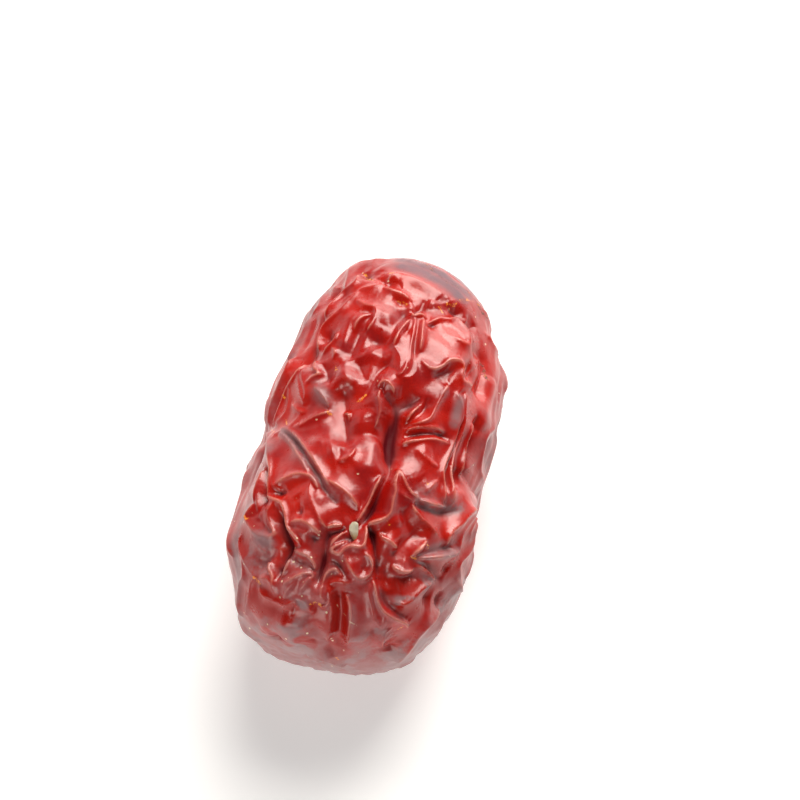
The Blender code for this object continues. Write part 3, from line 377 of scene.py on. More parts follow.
RIGHT_FLANK = (
    ("ridge", (89, 73), (92, 65), (94, 56), (93, 48), (90, 40), (88, 30), (85, 20), (81, 10),
     (77, 0), (75, -10), (77, -20), (78, -30), (77, -42)),
    ("crease", (95, 46), (92, 38), (89, 26), (85, 12), (81, 0), (79, -10), (80, -20), (81, -33)),
    ("ridge", (98, 73), (97, 58), (96, 44), (93, 32), (89, 20), (86, 10), (84, 0), (83, -10),
     (85, -22), (86, -43)),
    ("ridge", (105, 40), (102, 30), (99, 20), (97, 10), (95, 0), (95, -10)),
    ("hollow", (90, -4), (90, -18), (91, -30)),
    ("bolster", (99, 48), (97, 36), (94, 23)),
    ("crease", (112, 50), (111, 40), (107, 30), (103, 20), (100, 10), (99, 0), (101, -10),
     (108, -22), (114, -31), (119, -39)),
    ("swell", (130, 90), (128, 75), (123, 60), (119, 45), (117, 33)),
    ("crest", (139, 58), (135, 43), (129, 35), (123, 30), (120, 23), (119, 15), (117, 5),
     (116, -10), (119, -20), (123, -29)),
    ("ridge", (90, -125), (94, -140)),
    ("crease", (102, -133), (101, -145), (92, -152)),
    ("ridge", (90, -162), (80, -167), (72, -180), (63, -196)),
)
TIP_DOME = (
    ("ridge", (-120, -134), (-112, -143), (-102, -149), (-92, -151), (-82, -147), (-79, -152)),
    ("crest", (-120, -124), (-110, -123), (-105, -132), (-104, -141)),
    ("ridge", (-80, -126), (-87, -132), (-93, -143)),
    ("crest", (-82, -143), (-72, -147), (-65, -158)),
    ("bolster", (-54, -136), (-64, -147)),
    ("bolster", (16, -163), (27, -169)),
    ("ridge", (-53, -130), (-54, -140), (-49, -148)),
    ("crest", (-46, -132), (-45, -140), (-46, -149), (-50, -153), (-55, -153)),
    ("hollow", (-37, -132), (-34, -140), (-33, -160), (-34, -180), (-37, -203)),
    ("ridge", (-28, -140), (-24, -150), (-23, -165), (-25, -180), (-27, -194)),
    ("crest", (-43, -150), (-45, -170), (-48, -192)),
    ("hollow", (-50, -193), (-40, -210)),
    ("swell", (-120, -180), (-100, -175), (-90, -172), (-80, -173), (-73, -180)),
    ("swell", (-83, -175), (-83, -190), (-79, -200)),
    ("hollow", (-103, -190), (-100, -196)),
    ("hollow", (-63, -190), (-63, -197)),
    ("crest", (-70, -210), (-52, -211), (-42, -216), (-30, -220)),
    ("ridge", (2, -125), (4, -140), (8, -153), (14, -160), (25, -166), (33, -169), (36, -174)),
    ("crest", (13, -163), (12, -172), (11, -177)),
    ("crest", (-3, -128), (-3, -140), (0, -155), (3, -168), (10, -177)),
    ("ridge", (64, -128), (52, -134), (42, -142), (32, -149), (24, -149)),
    ("crease", (80, -140), (76, -147), (72, -159)),
    ("hollow", (56, -144), (66, -148)),
    ("ridge", (73, -159), (62, -168), (54, -174), (46, -185), (40, -195), (32, -206), (25, -214)),
    ("crest", (50, -177), (42, -185), (38, -192)),
    ("crest", (19, -177), (13, -183), (11, -193), (12, -200)),
    ("hollow", (23, -199), (22, -207)),
)
FOLDS = (
    LONG_FOLD_LEFT + STALK_SHOULDER + BIG_PILLOW + MIDDLE + LEFT_FLANK
    + LEFT_OF_THE_DEEP_FOLD + RIGHT_OF_THE_DEEP_FOLD + RIGHT_FLANK + TIP_DOME
)

# The folds of the other sides
# No photograph shows these sides, so the drawn folds run over them again, mirrored and turned, and
# gathers run out from the stalk. Where it is still bare, folds grow by a rule and a fixed seed.
FLANK_TURNS = (118.0, -118.0)
FLANK_CLEARANCE = 0.9
EDGE_OF_SIGHT_STRENGTH = 0.5
# Away from the upper side raised folds are a little lower, and all are faint on the tip's dome
RAISED_STRENGTH = 0.8
SUNKEN_STRENGTH = 1.1
TIP_DOME_STRENGTH = 0.4
TIP_DOME_START = 0.36


def turned(axes, degrees):
    """The same three directions, mirrored end for end and turned round the long axis."""
    angle = math.radians(degrees)
    result = []
    for x, y, z in axes:
        result.append(np.array([
            x * math.cos(angle) + z * math.sin(angle),
            -y,
            z * math.cos(angle) - x * math.sin(angle),
        ]))
    return result


def facing(points, axes):
    """1 where the body's skin looks straight at the eye, 0 on the rim and below 0 beyond it."""
    return points @ axes[2] / np.linalg.norm(points, axis=-1)


def drawn_folds(axes, taken):
    """The drawn folds as seen from one side, where they stay clear of the points taken so far."""
    lines = []
    for fold in FOLDS:
        line = rounded(dropped(fold[1:], axes))
        gap = np.linalg.norm(taken[:, None] - line[None], axis=2).min() if len(taken) else 99
        if gap < FLANK_CLEARANCE:
            continue
        seen = min(1, 2 * max(0, (outward_of(line) @ axes[2]).mean()))
        strength = EDGE_OF_SIGHT_STRENGTH + (1 - EDGE_OF_SIGHT_STRENGTH) * seen
        lines.append((fold[0], line, strength))
    return lines


def softened(kind, line):
    """How strong a fold away from the upper side is."""
    strength = RAISED_STRENGTH if KINDS[kind][0] > 0 else SUNKEN_STRENGTH
    if line[:, 1].mean() < -TIP_DOME_START * LENGTH:
        strength *= TIP_DOME_STRENGTH
    return strength


# Gathers round the stalk cavity: how many, how far from the long axis they run, and how unevenly
STALK_FOLDS = 13
STALK_FOLD_START = 1.7
STALK_FOLD_REACH = (4.5, 8.0)
STALK_FOLD_PLACE = 0.42
STALK_FOLD_STEPS = 4
STALK_FOLD_JITTER = 0.25
STALK_FOLD_WANDER = 0.07


def stalk_folds(rng):
    """Folds that run outwards from the stalk cavity like gathers, with bends of their own."""
    gathers = []
    for index in range(STALK_FOLDS):
        jitter = rng.uniform(-STALK_FOLD_JITTER, STALK_FOLD_JITTER)
        angle = 2 * math.pi * (index + jitter) / STALK_FOLDS
        reach = rng.uniform(*STALK_FOLD_REACH)
        path = []
        for step in range(STALK_FOLD_STEPS + 1):
            angle += rng.gauss(0, STALK_FOLD_WANDER)
            away = STALK_FOLD_START + (reach - STALK_FOLD_START) * step / STALK_FOLD_STEPS
            path.append((away * math.cos(angle), LENGTH * STALK_FOLD_PLACE, away * math.sin(angle)))
        line = rounded(onto_body(np.array(path)))
        kind = "crease" if index % 2 else "ridge"
        gathers.append((kind, line, softened(kind, line)))
    return gathers


# Folds that grow by a rule, step by step. On the rim seen from the eye point they run lengthways
# and are longer and lower. The rim's half width is a cosine, and each range a number of steps
GROWN_KINDS = ("crest", "ridge", "ridge", "crease", "crease", "gully")
GROWN_STEP = 0.9
GROWN_CLEARANCE = 1.6
GROWN_STOP = 0.7
GROWN_TRIES = 3000
GROWN_SPREAD = 1.4
GROWN_WANDER = 0.26
GROWN_RANGE = (5, 14)
RIM_WIDTH = 0.36
RIM_WANDER = 0.10
RIM_RANGE = (8, 20)
RIM_STRENGTH = 0.6


def underside_folds(lines):
    """The drawn folds again on both sides of the underside, where there is room for them."""
    result = list(lines)
    for turn in FLANK_TURNS:
        taken = np.vstack([line for _, line, _ in result])
        for kind, line, _ in drawn_folds(turned(front, turn), taken):
            if facing(line, front).max() < -RIM_WIDTH:
                result.append((kind, line, softened(kind, line)))
    return result


def grown_fold(start, taken, on_rim, rng):
    """One line that wanders on from a point until it comes near another line."""
    wander = RIM_WANDER if on_rim else GROWN_WANDER
    heading = np.array([0, rng.choice((-1, 1)), 0])
    spot = start
    path = [start]
    for _ in range(rng.randint(*(RIM_RANGE if on_rim else GROWN_RANGE))):
        heading = heading + np.array([rng.gauss(0, wander) for _ in range(3)])
        away = spot / np.linalg.norm(spot)
        heading = heading - away * (heading @ away)
        heading = heading / np.linalg.norm(heading)
        spot = onto_body((spot + heading * GROWN_STEP)[None])[0]
        if np.linalg.norm(taken - spot, axis=1).min() < GROWN_CLEARANCE * GROWN_STOP:
            break
        path.append(spot)
    return path


def grown_folds(lines, on_rim, rng):
    """The folds so far and new ones, on the rim or beyond it, where the body is still bare."""
    result = list(lines)
    taken = np.vstack([line for _, line, _ in result])
    for _ in range(GROWN_TRIES):
        start = np.array([[rng.gauss(0, 1), rng.gauss(0, GROWN_SPREAD), rng.gauss(0, 1)]])
        start = onto_body(start * (WIDTH / 4))[0]
        turned_to_eye = facing(start, front)
        if turned_to_eye > RIM_WIDTH or (abs(turned_to_eye) < RIM_WIDTH) != on_rim:
            continue
        if np.linalg.norm(taken - start, axis=1).min() < GROWN_CLEARANCE:
            continue
        path = grown_fold(start, taken, on_rim, rng)
        if len(path) < 3:
            continue
        kind = rng.choice(GROWN_KINDS)
        line = rounded(np.array(path))
        strength = softened(kind, line) * (RIM_STRENGTH if on_rim else 1)
        result.append((kind, line, strength))
        taken = np.vstack([taken, line])
    return result


SEED = 7
rng = random.Random(SEED)
folds = drawn_folds(front, np.empty((0, 3))) + stalk_folds(rng)
folds = grown_folds(folds, True, rng)
folds = underside_folds(folds)
folds = grown_folds(folds, False, rng)

# The relief of the skin
# Each fold pulls the skin to its own height, the nearer the more strongly. Broad dents, fine
# wrinkles, the stalk cavity and the tip's dimple are added, and the flat spot below is kept calm.

# Broad dents and bulges of the body: place on the sight plane, rise and spread in millimetres
DENTS = (
    ((-126, 12), -0.9, 2.2),
    ((132, 10), -0.6, 3.0),
    ((-98, 130), -0.6, 3.5),
    ((136, 85), 0.5, 3.5),
    ((-10, 220), 0.5, 5.0),
    ((128, -80), -0.6, 3.0),
    ((-140, -15), -0.7, 2.5),
)
# Shallow dips and swells of the tip's dome and of one pillow
DOME_DENTS = (
    ((-104, -152), -0.4, 1.1),
    ((-92, -172), 0.35, 0.9),
    ((-104, -189), -0.35, 1.0),
    ((-76, -176), 0.3, 0.9),
    ((-76, -196), -0.35, 1.0),
    ((-60, -180), -0.25, 0.8),
    ((-36, -176), -0.45, 1.1),
    ((-16, -194), 0.35, 1.1),
    ((2, -180), -0.3, 0.9),
    ((16, -190), 0.28, 0.8),
    ((36, -186), -0.3, 1.0),
    ((58, -164), 0.22, 1.0),
    ((-124, -158), 0.2, 1.1),
    ((-48, -204), 0.2, 1.1),
    ((93, 134), 0.55, 2.2),
)
# The skin between the folds, and how a fold fades at its ends, softens and varies on its way
SAG_BETWEEN_FOLDS = -0.40
FOLD_MARGIN = 0.5
SLOPES_WIDE = 5
END_TAPER = 1.3
END_STRENGTH = 0.12
SOFTER_AT_STALK_END = 0.04
SOFTEST_FROM = 8
UNEVEN_REACH = 0.22
UNEVEN_PITCH = 1.3
UNEVEN_SHIFT = 2.4


def distance_along(points, line):
    """Distance of each point to a line, and how far along the line that is, from 0 to 1."""
    start = line[:-1]
    run = line[1:] - start
    length = np.linalg.norm(run, axis=1)
    before = np.concatenate([[0], np.cumsum(length)])
    best = np.full(len(points), np.inf)
    place = np.zeros(len(points))
    for a, ab, size, gone in zip(start, run, length, before):
        t = np.clip((points - a) @ ab / (size * size), 0, 1)
        away = np.linalg.norm(points - a - t[:, None] * ab, axis=1)
        nearer = away < best
        best[nearer] = away[nearer]
        place[nearer] = gone + t[nearer] * size
    return best, place / before[-1], before[-1]


def fold_relief(points, lines):
    """Height of the folds. Each pulls the skin to its own height, the nearer the more strongly."""
    pull = np.ones(len(points))
    height = np.full(len(points), SAG_BETWEEN_FOLDS)
    for index, (kind, line, strength) in enumerate(lines):
        rise, reach, roundness = KINDS[kind]
        margin = reach * SLOPES_WIDE + FOLD_MARGIN
        near = (points > line.min(axis=0) - margin) & (points < line.max(axis=0) + margin)
        near = np.flatnonzero(near.all(axis=1))
        away, place, length = distance_along(points[near], line)
        fade = np.minimum(place, 1 - place) * length / END_TAPER + END_STRENGTH
        phase = place * length * UNEVEN_PITCH + index * UNEVEN_SHIFT
        uneven = 1 + UNEVEN_REACH * np.sin(phase)
        soft = np.clip(line[:, 1].mean() / SOFTEST_FROM, 0, 1)
        soft = roundness + SOFTER_AT_STALK_END * soft
        weight = np.clip(fade, 0, 1) / np.expm1(np.hypot(away, soft) / (reach * uneven))
        pull[near] += weight
        height[near] += weight * rise * strength
    return height / pull


WAVES = 14
WAVES_TOTAL = 5
WAVELENGTHS = (1.4, 3.0)


def waves(points, size, rng):
    """Gentle seeded unevenness with bumps about this size, from about -1 to 1."""
    total = np.zeros(len(points))
    for _ in range(WAVES):
        direction = np.array([rng.gauss(0, 1) for _ in range(3)])
        direction = direction / np.linalg.norm(direction)
        wavelength = size * rng.uniform(*WAVELENGTHS)
        total += np.sin(points @ direction * 2 * math.pi / wavelength + rng.uniform(0, 6.3))
    return total / WAVES_TOTAL


# Below this height the floors of the folds level off
DEEPEST = -1.7
LEVELLING_OFF = 0.6
# Fine wrinkles run lengthways in a belt round the flanks: height, size, stretch, place and width
FINE_WRINKLES = 0.13
FINE_WRINKLE_SIZE = 0.75
FINE_WRINKLE_STRETCH = 0.22
BELT_PLACE = -0.1
BELT_WIDTH = 0.5
# Along the outline seen from the eye point the folds are lower: to which height, how much, how wide
RIM_HEIGHT = -0.15
RIM_FADING = 0.62
RIM_SOFTNESS = 0.22
SUNKEN_FADING = 0.5
# Height and size of the broad and of the small unevenness
BROAD_WAVES = (0.28, 4.5)
SMALL_WAVES = (0.03, 1.6)
# Hollows of the two ends
STALK_CAVITY_DEPTH = 2.4
STALK_CAVITY_RADIUS = 3.0
STALK_SCAR_HEIGHT = 0.6
STALK_SCAR_RADIUS = 1.3
STALK_SCAR_EDGE = 0.12
TIP_DIMPLE_DEPTH = 0.9
TIP_DIMPLE_RADIUS = 1.8
TIP_POINT_HEIGHT = 0.5
TIP_POINT_RADIUS = 0.5
# The flat spot below, where the folds are low
FLAT_SPOT_CALM_RADIUS = 4.0
FLAT_SPOT_CALM = 0.75


def skin_height(points, lines):
    """How far the wrinkled skin stands over the plain body."""
    rng = random.Random(SEED + 1)
    height = fold_relief(points, lines)
    floor = DEEPEST + np.tanh((height - DEEPEST) / LEVELLING_OFF) * LEVELLING_OFF
    height = np.where(height < DEEPEST, floor, height)
    across = outward_of(points) @ front[2]
    squeezed = points * np.array([1, FINE_WRINKLE_STRETCH, 1])
    lengthways = waves(squeezed, FINE_WRINKLE_SIZE, random.Random(SEED + 2))
    belt = np.exp(-((across - BELT_PLACE) / BELT_WIDTH) ** 2)
    height += FINE_WRINKLES * lengthways * belt
    rim = np.exp(-(across / RIM_SOFTNESS) ** 2)
    rim = np.where(height > RIM_HEIGHT, rim, rim * SUNKEN_FADING)
    height += (RIM_HEIGHT - height) * RIM_FADING * rim
    for rise, size in (BROAD_WAVES, SMALL_WAVES):
        height += rise * waves(points, size, rng)
    away = np.hypot(points[:, 0], points[:, 2])
    cavity = STALK_CAVITY_DEPTH * np.exp(-(away / STALK_CAVITY_RADIUS) ** 2)
    scar = STALK_SCAR_HEIGHT / (1 + np.exp((away - STALK_SCAR_RADIUS) / STALK_SCAR_EDGE))
    dimple = TIP_DIMPLE_DEPTH * np.exp(-(away / TIP_DIMPLE_RADIUS) ** 2)
    point = TIP_POINT_HEIGHT * np.exp(-(away / TIP_POINT_RADIUS) ** 2)
    height -= np.where(points[:, 1] > 0, cavity - scar, dimple - point)
    for place, rise, spread in DENTS + DOME_DENTS:
        centre = dropped([place], front)[0]
        height += rise * np.exp(-(np.linalg.norm(points - centre, axis=1) / spread) ** 2)
    below = np.linalg.norm(points - np.array([0, 0, -THICKNESS / 2]), axis=1)
    return height * (1 - FLAT_SPOT_CALM * np.exp(-(below / FLAT_SPOT_CALM_RADIUS) ** 4))


# The skin
# One thin glossy skin, shrunk tight over the dried flesh. A fine ball is drawn out to the body,
# raised by the folds, thinned where it is flat, and cut level where the fruit lies.
SKIN_TRIANGLES = 196000
SKIN_SUBDIVISIONS = 8
FLAT_SPOT_CUT = 0.45
# A smooth patch of the stalk end, as lines on the sight plane, and the height it is drawn to, with
# how steeply its edge sets in and how much of the folds it takes away
CAP = (
    ((34, 208), (54, 202), (74, 191), (92, 179)),
    ((33, 215), (59, 208), (81, 195), (98, 181)),
    ((32, 220), (62, 214), (86, 200), (104, 182)),
)
CAP_WIDTH = 3.0
CAP_HEIGHT = 0.1
CAP_EDGE = 1.6
CAP_HOLD = 0.85
# How many rounds even the height out, for what is sharp and for what is broad in it
SHARP = 12
BROAD = 90


def coordinates(mesh):
    """The mesh's vertex positions as an array."""
    values = np.empty(len(mesh.vertices) * 3, np.float32)
    mesh.vertices.foreach_get("co", values)
    return values.reshape(-1, 3).astype(float)


def set_coordinates(mesh, points):
    """Moves the mesh's vertices to these positions."""
    mesh.vertices.foreach_set("co", points.astype(np.float32).ravel())
    mesh.update()


def keep_values(mesh, name, values):
    """Stores one number for each vertex, for the material to read."""
    stored = mesh.attributes.new(name, "FLOAT", "POINT")
    stored.data.foreach_set("value", values.astype(np.float32))


def blurred(mesh, values, rounds):
    """The values evened out over the mesh, each round with those of the vertices next door."""
    edges = np.empty(len(mesh.edges) * 2, np.int32)
    mesh.edges.foreach_get("vertices", edges)
    one, other = edges.reshape(-1, 2).T
    count = len(values)
    neighbours = np.bincount(one, minlength=count) + np.bincount(other, minlength=count)
    for _ in range(rounds):
        total = np.bincount(one, values[other], count) + np.bincount(other, values[one], count)
        values = (values + total / neighbours) / 2
    return values


def gap_to(points, lines, limit=2.0):
    """Distance from each point to the nearest of these lines drawn on the sight plane."""
    nearest = np.full(len(points), limit)
    for line in lines:
        line = rounded(dropped(line, front))
        near = (points > line.min(axis=0) - limit) & (points < line.max(axis=0) + limit)
        near = np.flatnonzero(near.all(axis=1))
        away, _, _ = distance_along(points[near], line)
        nearest[near] = np.minimum(nearest[near], away)
    return nearest


bpy.ops.object.select_all(action="DESELECT")
bpy.ops.mesh.primitive_ico_sphere_add(subdivisions=SKIN_SUBDIVISIONS, radius=1)
skin = bpy.context.object
skin.name = "skin"
skin.data.name = "skin"
body = onto_body(coordinates(skin.data) * np.array([WIDTH, LENGTH, THICKNESS]) / 2)
set_coordinates(skin.data, body)
outward = outward_of(body)
height = skin_height(body, folds)
cap_gap = gap_to(body, CAP, CAP_WIDTH)
height += (CAP_HEIGHT - height) * np.clip((1 - cap_gap / CAP_WIDTH) * CAP_EDGE, 0, CAP_HOLD)
shape_values = {
    "height": height,
    "edge": height - blurred(skin.data, height, SHARP),
    "bulge": height - blurred(skin.data, height, BROAD),
    "upward": outward[:, 2],
    "along": body[:, 1],
    "off_axis": np.hypot(body[:, 0], body[:, 2]),
    "cap_gap": cap_gap,
}
for name, values in shape_values.items():
    keep_values(skin.data, name, values)

# The marks on the skin
# Cracks show the amber flesh and the right edge has a dry brown crust. Over the smooth parts a
# purple-grey sheen is painted, a painted reflection of the pale surroundings, with gaps of darker
# red. Each mark is lines on the sight plane, kept as the distance to them.
CRACKS = (
    ((-9, 201), (-4, 197.5), (1, 195)),
    ((79, 172), (84, 168), (91, 171), (98, 173), (106, 172)),
    ((18, 200), (24, 200)),
    ((28, 176), (38, 173)),
    ((72, 169), (77, 161)),
    ((-51, 148), (-61, 144)),
    ((-125, -122), (-120, -129)),
    ((-39, -211), (-36, -213)),
    ((-65, -151), (-60, -149), (-54, -153)),
    ((28, -178), (32, -175)),
    ((96, -148), (100, -144)),
    ((42, -99), (46, -101)),
    ((58, -87), (62, -90)),
    ((-133, -57), (-130, -62)),
    ((93, 100), (96, 97)),
    ((-16, 68), (-7, 76)),
    ((-98, 77), (-95, 69)),
    ((-94, 46), (-93, 42)),
    ((-110, 35), (-107, 32)),
    ((-42, 105), (-40, 101)),
    ((-48, 57), (-46, 54)),
    ((16, -61), (19, -64)),
    ((58, -20), (60, -22)),
)
CRUST = (
    ((52, 213), (75, 195), (92, 186), (106, 178)),
    ((104, 179), (116, 160), (126, 146), (134, 136)),
    ((120, 112), (124, 102), (125, 90)),
    ((142, 106), (144, 96), (143, 88)),
    ((134, 119), (139, 104), (140, 90), (139, 76)),
)
HAIR = (((-38, -152), (-33, -161), (-23, -169), (-14, -177)),)
# Smooth patches where a sheen is painted, and pale painted streaks of sheen along folds
SHEEN_PATCHES = (
    ((30, 214), (55, 202), (82, 188)),
    ((-98, 90), (-86, 122), (-70, 154), (-49, 186)),
    ((-120, -80), (-112, -88)),
    ((-137, -85), (-123, -113)),
    ((-86, -98), (-65, -113)),
    ((-60, 80), (-47, 63)),
    ((-119, 26), (-111, 13)),
    ((-122, -184), (-100, -174), (-76, -174)),
    ((-82, -182), (-80, -204)),
    ((-16, -196), (6, -184)),
    ((44, -192), (70, -166), (96, -136)),
    ((34, -146), (60, -126)),
    ((125, -70), (115, -95), (110, -120)),
    ((-136, -50), (-146, -85), (-146, -125)),
    ((52, -32), (70, -40), (90, -44)),
)
STREAKS = (
    ((49, -100), (66, -99), (82, -96), (92, -93)),
    ((60, -94), (80, -87), (96, -80)),
    ((52, -43), (68, -50), (86, -52), (96, -48)),
    ((29, 59), (36, 62), (46, 66)),
    ((92, 68), (89, 56), (86, 42)),
    ((-98, 34), (-84, 24), (-72, 8), (-56, -18), (-40, -36)),
    ((-92, -151), (-82, -149), (-72, -151)),
    ((-120, -136), (-110, -145), (-96, -150)),
    ((54, -134), (42, -143), (30, -150)),
    ((46, -182), (34, -199), (24, -210)),
)
# Gaps in the painted sheen, where a darker deep red is painted as skin that mirrors only the dark
# room
WINDOWS = (
    ((-119, -142), (-104, -149), (-87, -156)),
    ((-118, -153), (-104, -159), (-92, -162)),
    ((-113, -183), (-103, -190), (-94, -196)),
    ((-75, -192), (-70, -196)),
    ((-39, -129), (-35, -150), (-35, -172), (-38, -195), (-38, -210)),
    ((-57, -158), (-53, -172)),
    ((19, -202), (24, -198)),
    ((64, -112), (76, -115), (88, -116)),
    ((34, -154), (54, -149), (74, -143)),
    ((22, -131), (48, -133)),
    ((96, -108), (106, -94), (114, -84)),
    ((50, -60), (70, -66)),
    ((-136, -72), (-138, -96)),
    ((-126, -144), (-124, -160)),
)
# Where pale specks of dust gather
DUSTY = (
    ((-138, -168), (-115, -164), (-96, -186), (-74, -188), (-30, -202)),
    ((-123, -126), (-106, -124), (-90, -108), (-70, -88)),
    ((-146, -52), (-134, -58)),
    ((106, 152), (114, 136), (120, 126)),
    ((-78, -150), (-50, -165)),
)
# Under which name each is kept, and beyond which distance in millimetres it no longer counts
MARKS = {
    "crack_gap": (CRACKS, 2.0),
    "crust_gap": (CRUST, 2.0),
    "hair_gap": (HAIR, 2.0),
    "sheen_gap": (SHEEN_PATCHES, 3.0),
    "streak_gap": (STREAKS, 2.0),
    "window_gap": (WINDOWS, 2.0),
    "dust_gap": (DUSTY, 4.0),
}
for name, (marks, farthest) in MARKS.items():
    keep_values(skin.data, name, gap_to(body, marks, farthest))

# The skin's last shape
# Now the relief is raised on the ball. It is thinned, cut level where the fruit lies, closed there,
# and fitted to the solid's own box.
set_coordinates(skin.data, (body + outward * height[:, None]) * MM)
thin = skin.modifiers.new("fewer faces", "DECIMATE")
thin.ratio = SKIN_TRIANGLES / len(skin.data.polygons)
bpy.ops.object.modifier_apply(modifier=thin.name)
level = coordinates(skin.data)[:, 2].min() + FLAT_SPOT_CUT * MM
bpy.ops.object.mode_set(mode="EDIT")
bpy.ops.mesh.select_all(action="SELECT")
bpy.ops.mesh.bisect(
    plane_co=(0, 0, level), plane_no=(0, 0, 1), use_fill=True, clear_inner=True, threshold=1e-6
)
bpy.ops.object.mode_set(mode="OBJECT")
points = coordinates(skin.data)
low = points.min(axis=0)
size = points.max(axis=0) - low
cad_low, cad_high = (np.array(corner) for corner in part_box("fruit"))
set_coordinates(skin.data, cad_low + (points - low) * (cad_high - cad_low) / size)
skin.data.shade_smooth()
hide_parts("fruit")
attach(skin, "root")

# The skin's finish
# A thin sheet of glossy red over darker flesh. Along the crests a pale colour is painted, partly
# the skin stretched thin and partly painted highlight; the deep folds get matte, nearly black-red
# painted shade, and a purple-grey painted sheen dulls the smooth parts. It comes from kept values
# and noise.


class Amount:
    """A number that varies over a surface. Sums made with it add Math nodes to its finish."""

    def __init__(self, finish, socket):
        self.finish = finish
        self.socket = socket

    def math(self, operation, first, second):
        return self.finish.node("ShaderNodeMath", {"operation": operation}, {0: first, 1: second})

    def __add__(self, other):
        return self.math("ADD", self, other)

    def __radd__(self, other):
        return self.math("ADD", other, self)

    def __rsub__(self, other):
        return self.math("SUBTRACT", other, self)

    def __mul__(self, other):
        return self.math("MULTIPLY", self, other)

    def __rmul__(self, other):
        return self.math("MULTIPLY", other, self)

    def step(self, start, end):
        """0 below start and 1 above end, with a smooth change between them."""
        sockets = {"Value": self, "From Min": start, "From Max": end}
        return self.finish.node("ShaderNodeMapRange", {"interpolation_type": "SMOOTHSTEP"}, sockets)

    def fade(self, start, end):
        """1 below start and 0 above end, with a smooth change between them."""
        return 1 - self.step(start, end)


class Finish:
    """A material and its nodes."""

    def __init__(self, name):
        self.material = bpy.data.materials.new(name)
        self.material.use_nodes = True
        self.tree = self.material.node_tree
        self.shader = self.tree.nodes["Principled BSDF"]

    def node(self, kind, settings, sockets, output=0):
        """Adds a node, sets it up, fills or links its sockets and returns one of its outputs."""
        node = self.tree.nodes.new(kind)
        for name, value in settings.items():
            setattr(node, name, value)
        for name, value in sockets.items():
            self.fill(node.inputs[name], value)
        return Amount(self, node.outputs[output])

    def fill(self, socket, value):
        """Links an amount to a socket, or writes a plain value in it."""
        if isinstance(value, Amount):
            self.tree.links.new(value.socket, socket)
        else:
            socket.default_value = value

    def surface(self, values):
        """Fills or links these sockets of the material's own shader, and returns its output."""
        for name, value in values.items():
            self.fill(self.shader.inputs[name], value)
        return Amount(self, self.shader.outputs["BSDF"])

    def kept(self, name):
        """The number stored for each vertex under this name."""
        return self.node("ShaderNodeAttribute", {"attribute_name": name}, {}, "Fac")

    def place(self):
        """The place on the object, in its own coordinates."""
        return self.node("ShaderNodeTexCoord", {}, {}, "Object")

    def noise(self, scale, detail, roughness):
        """Soft noise in the object's own coordinates, from 0 to 1."""
        sockets = {"Vector": self.place(), "Scale": scale, "Detail": detail, "Roughness": roughness}
        return self.node("ShaderNodeTexNoise", {}, sockets, "Fac")

    def mix(self, share, under, over):
        """One colour laid over another."""
        return self.node("ShaderNodeMix", {"data_type": "RGBA"}, {0: share, 6: under, 7: over}, 2)

    def bump(self, height, depth):
        """Tilts the surface as if it were raised by this height, in metres."""
        return self.node("ShaderNodeBump", {}, {"Height": height, "Distance": depth})


RED = (0.48, 0.009, 0.002, 1)
DARK_RED = (0.27, 0.002, 0.003, 1)
SHADED_TIP_RED = (0.36, 0.008, 0.004, 1)
UNREFLECTING_RED = (0.36, 0.006, 0.001, 1)
SHADE_MAROON = (0.090, 0.003, 0.006, 1)
PALE = (0.60, 0.20, 0.15, 1)
SHEEN_GREY = (0.27, 0.115, 0.12, 1)
RIM_REFLECTION_GREY = (0.42, 0.26, 0.26, 1)
MAUVE = (0.13, 0.045, 0.055, 1)
PURPLE = (0.11, 0.035, 0.055, 1)
AMBER = (0.80, 0.26, 0.03, 1)
BROWN = (0.10, 0.030, 0.015, 1)
CREAM = (0.80, 0.62, 0.42, 1)
CORK = (0.30, 0.16, 0.07, 1)
ROUGHNESS = 0.27
COAT = 0.22
COAT_ROUGHNESS = 0.17
BUMP = 0.00003
SPECK_SCALE = 900.0
# Light that goes into the flesh: its share, how far each of the three colours goes, and metres
FLESH_LIGHT = 0.12
FLESH_COLOURS = (1.0, 0.12, 0.08)
FLESH_DEPTH = 0.0010
red_skin = Finish("red_skin")
edge = red_skin.kept("edge")
upward = red_skin.kept("upward")
along = red_skin.kept("along")
off_axis = red_skin.kept("off_axis")
broad = red_skin.noise(140, 2, 0.5)
film = red_skin.noise(260, 4, 0.7)
mottle = red_skin.noise(420, 3, 0.6)
flakes = red_skin.noise(1500, 4, 0.75)
grain = red_skin.noise(2600, 2, 0.5)
shreds = red_skin.noise(3400, 3, 0.7)

# Where the skin is deep, sharp, furrowed, or near an end
# Painted shade in the deep folds: they are darkened to maroon and, deepest, given a matte shader
valley = red_skin.kept("bulge").fade(-0.80, -0.17)
valley = valley.math("MAXIMUM", valley, red_skin.kept("height").fade(-1.7, -0.9))
# Along the crests a pale colour is painted, partly the skin stretched thin and partly painted
# highlight
crest = edge.step(0.06, 0.22)
# Painted shade along the narrow creases, in mauve
crease_shade = edge.fade(-0.24, -0.07) * (1 - valley) * mottle.step(0.3, 0.6)
# The tip end: painted shade in a darker red, and there the painted sheen is stronger
tip = along.fade(-17, -11)
tip = tip * (1 - red_skin.noise(230, 2, 0.5).step(0.52, 0.66) * 0.9)
scar = (off_axis + shreds * 0.5).fade(1.35, 1.75) * along.step(15, 17)
point = (off_axis + shreds * 0.3).fade(0.55, 0.85) * along.fade(-17, -15)

# The painted sheen, a painted reflection of the white table and pale walls, thicker towards the
# table and on the tip's lower edge, its gaps of darker red, and the purple patch
body_side = along.step(-17, -6)
below = upward.fade(-0.55, 0.0) * body_side
# Painted reflection of the white table along the outline, where the skin faces sideways and down
rim = (upward + film * 0.3).fade(0.05, 0.75) * (1 - below * 0.75)
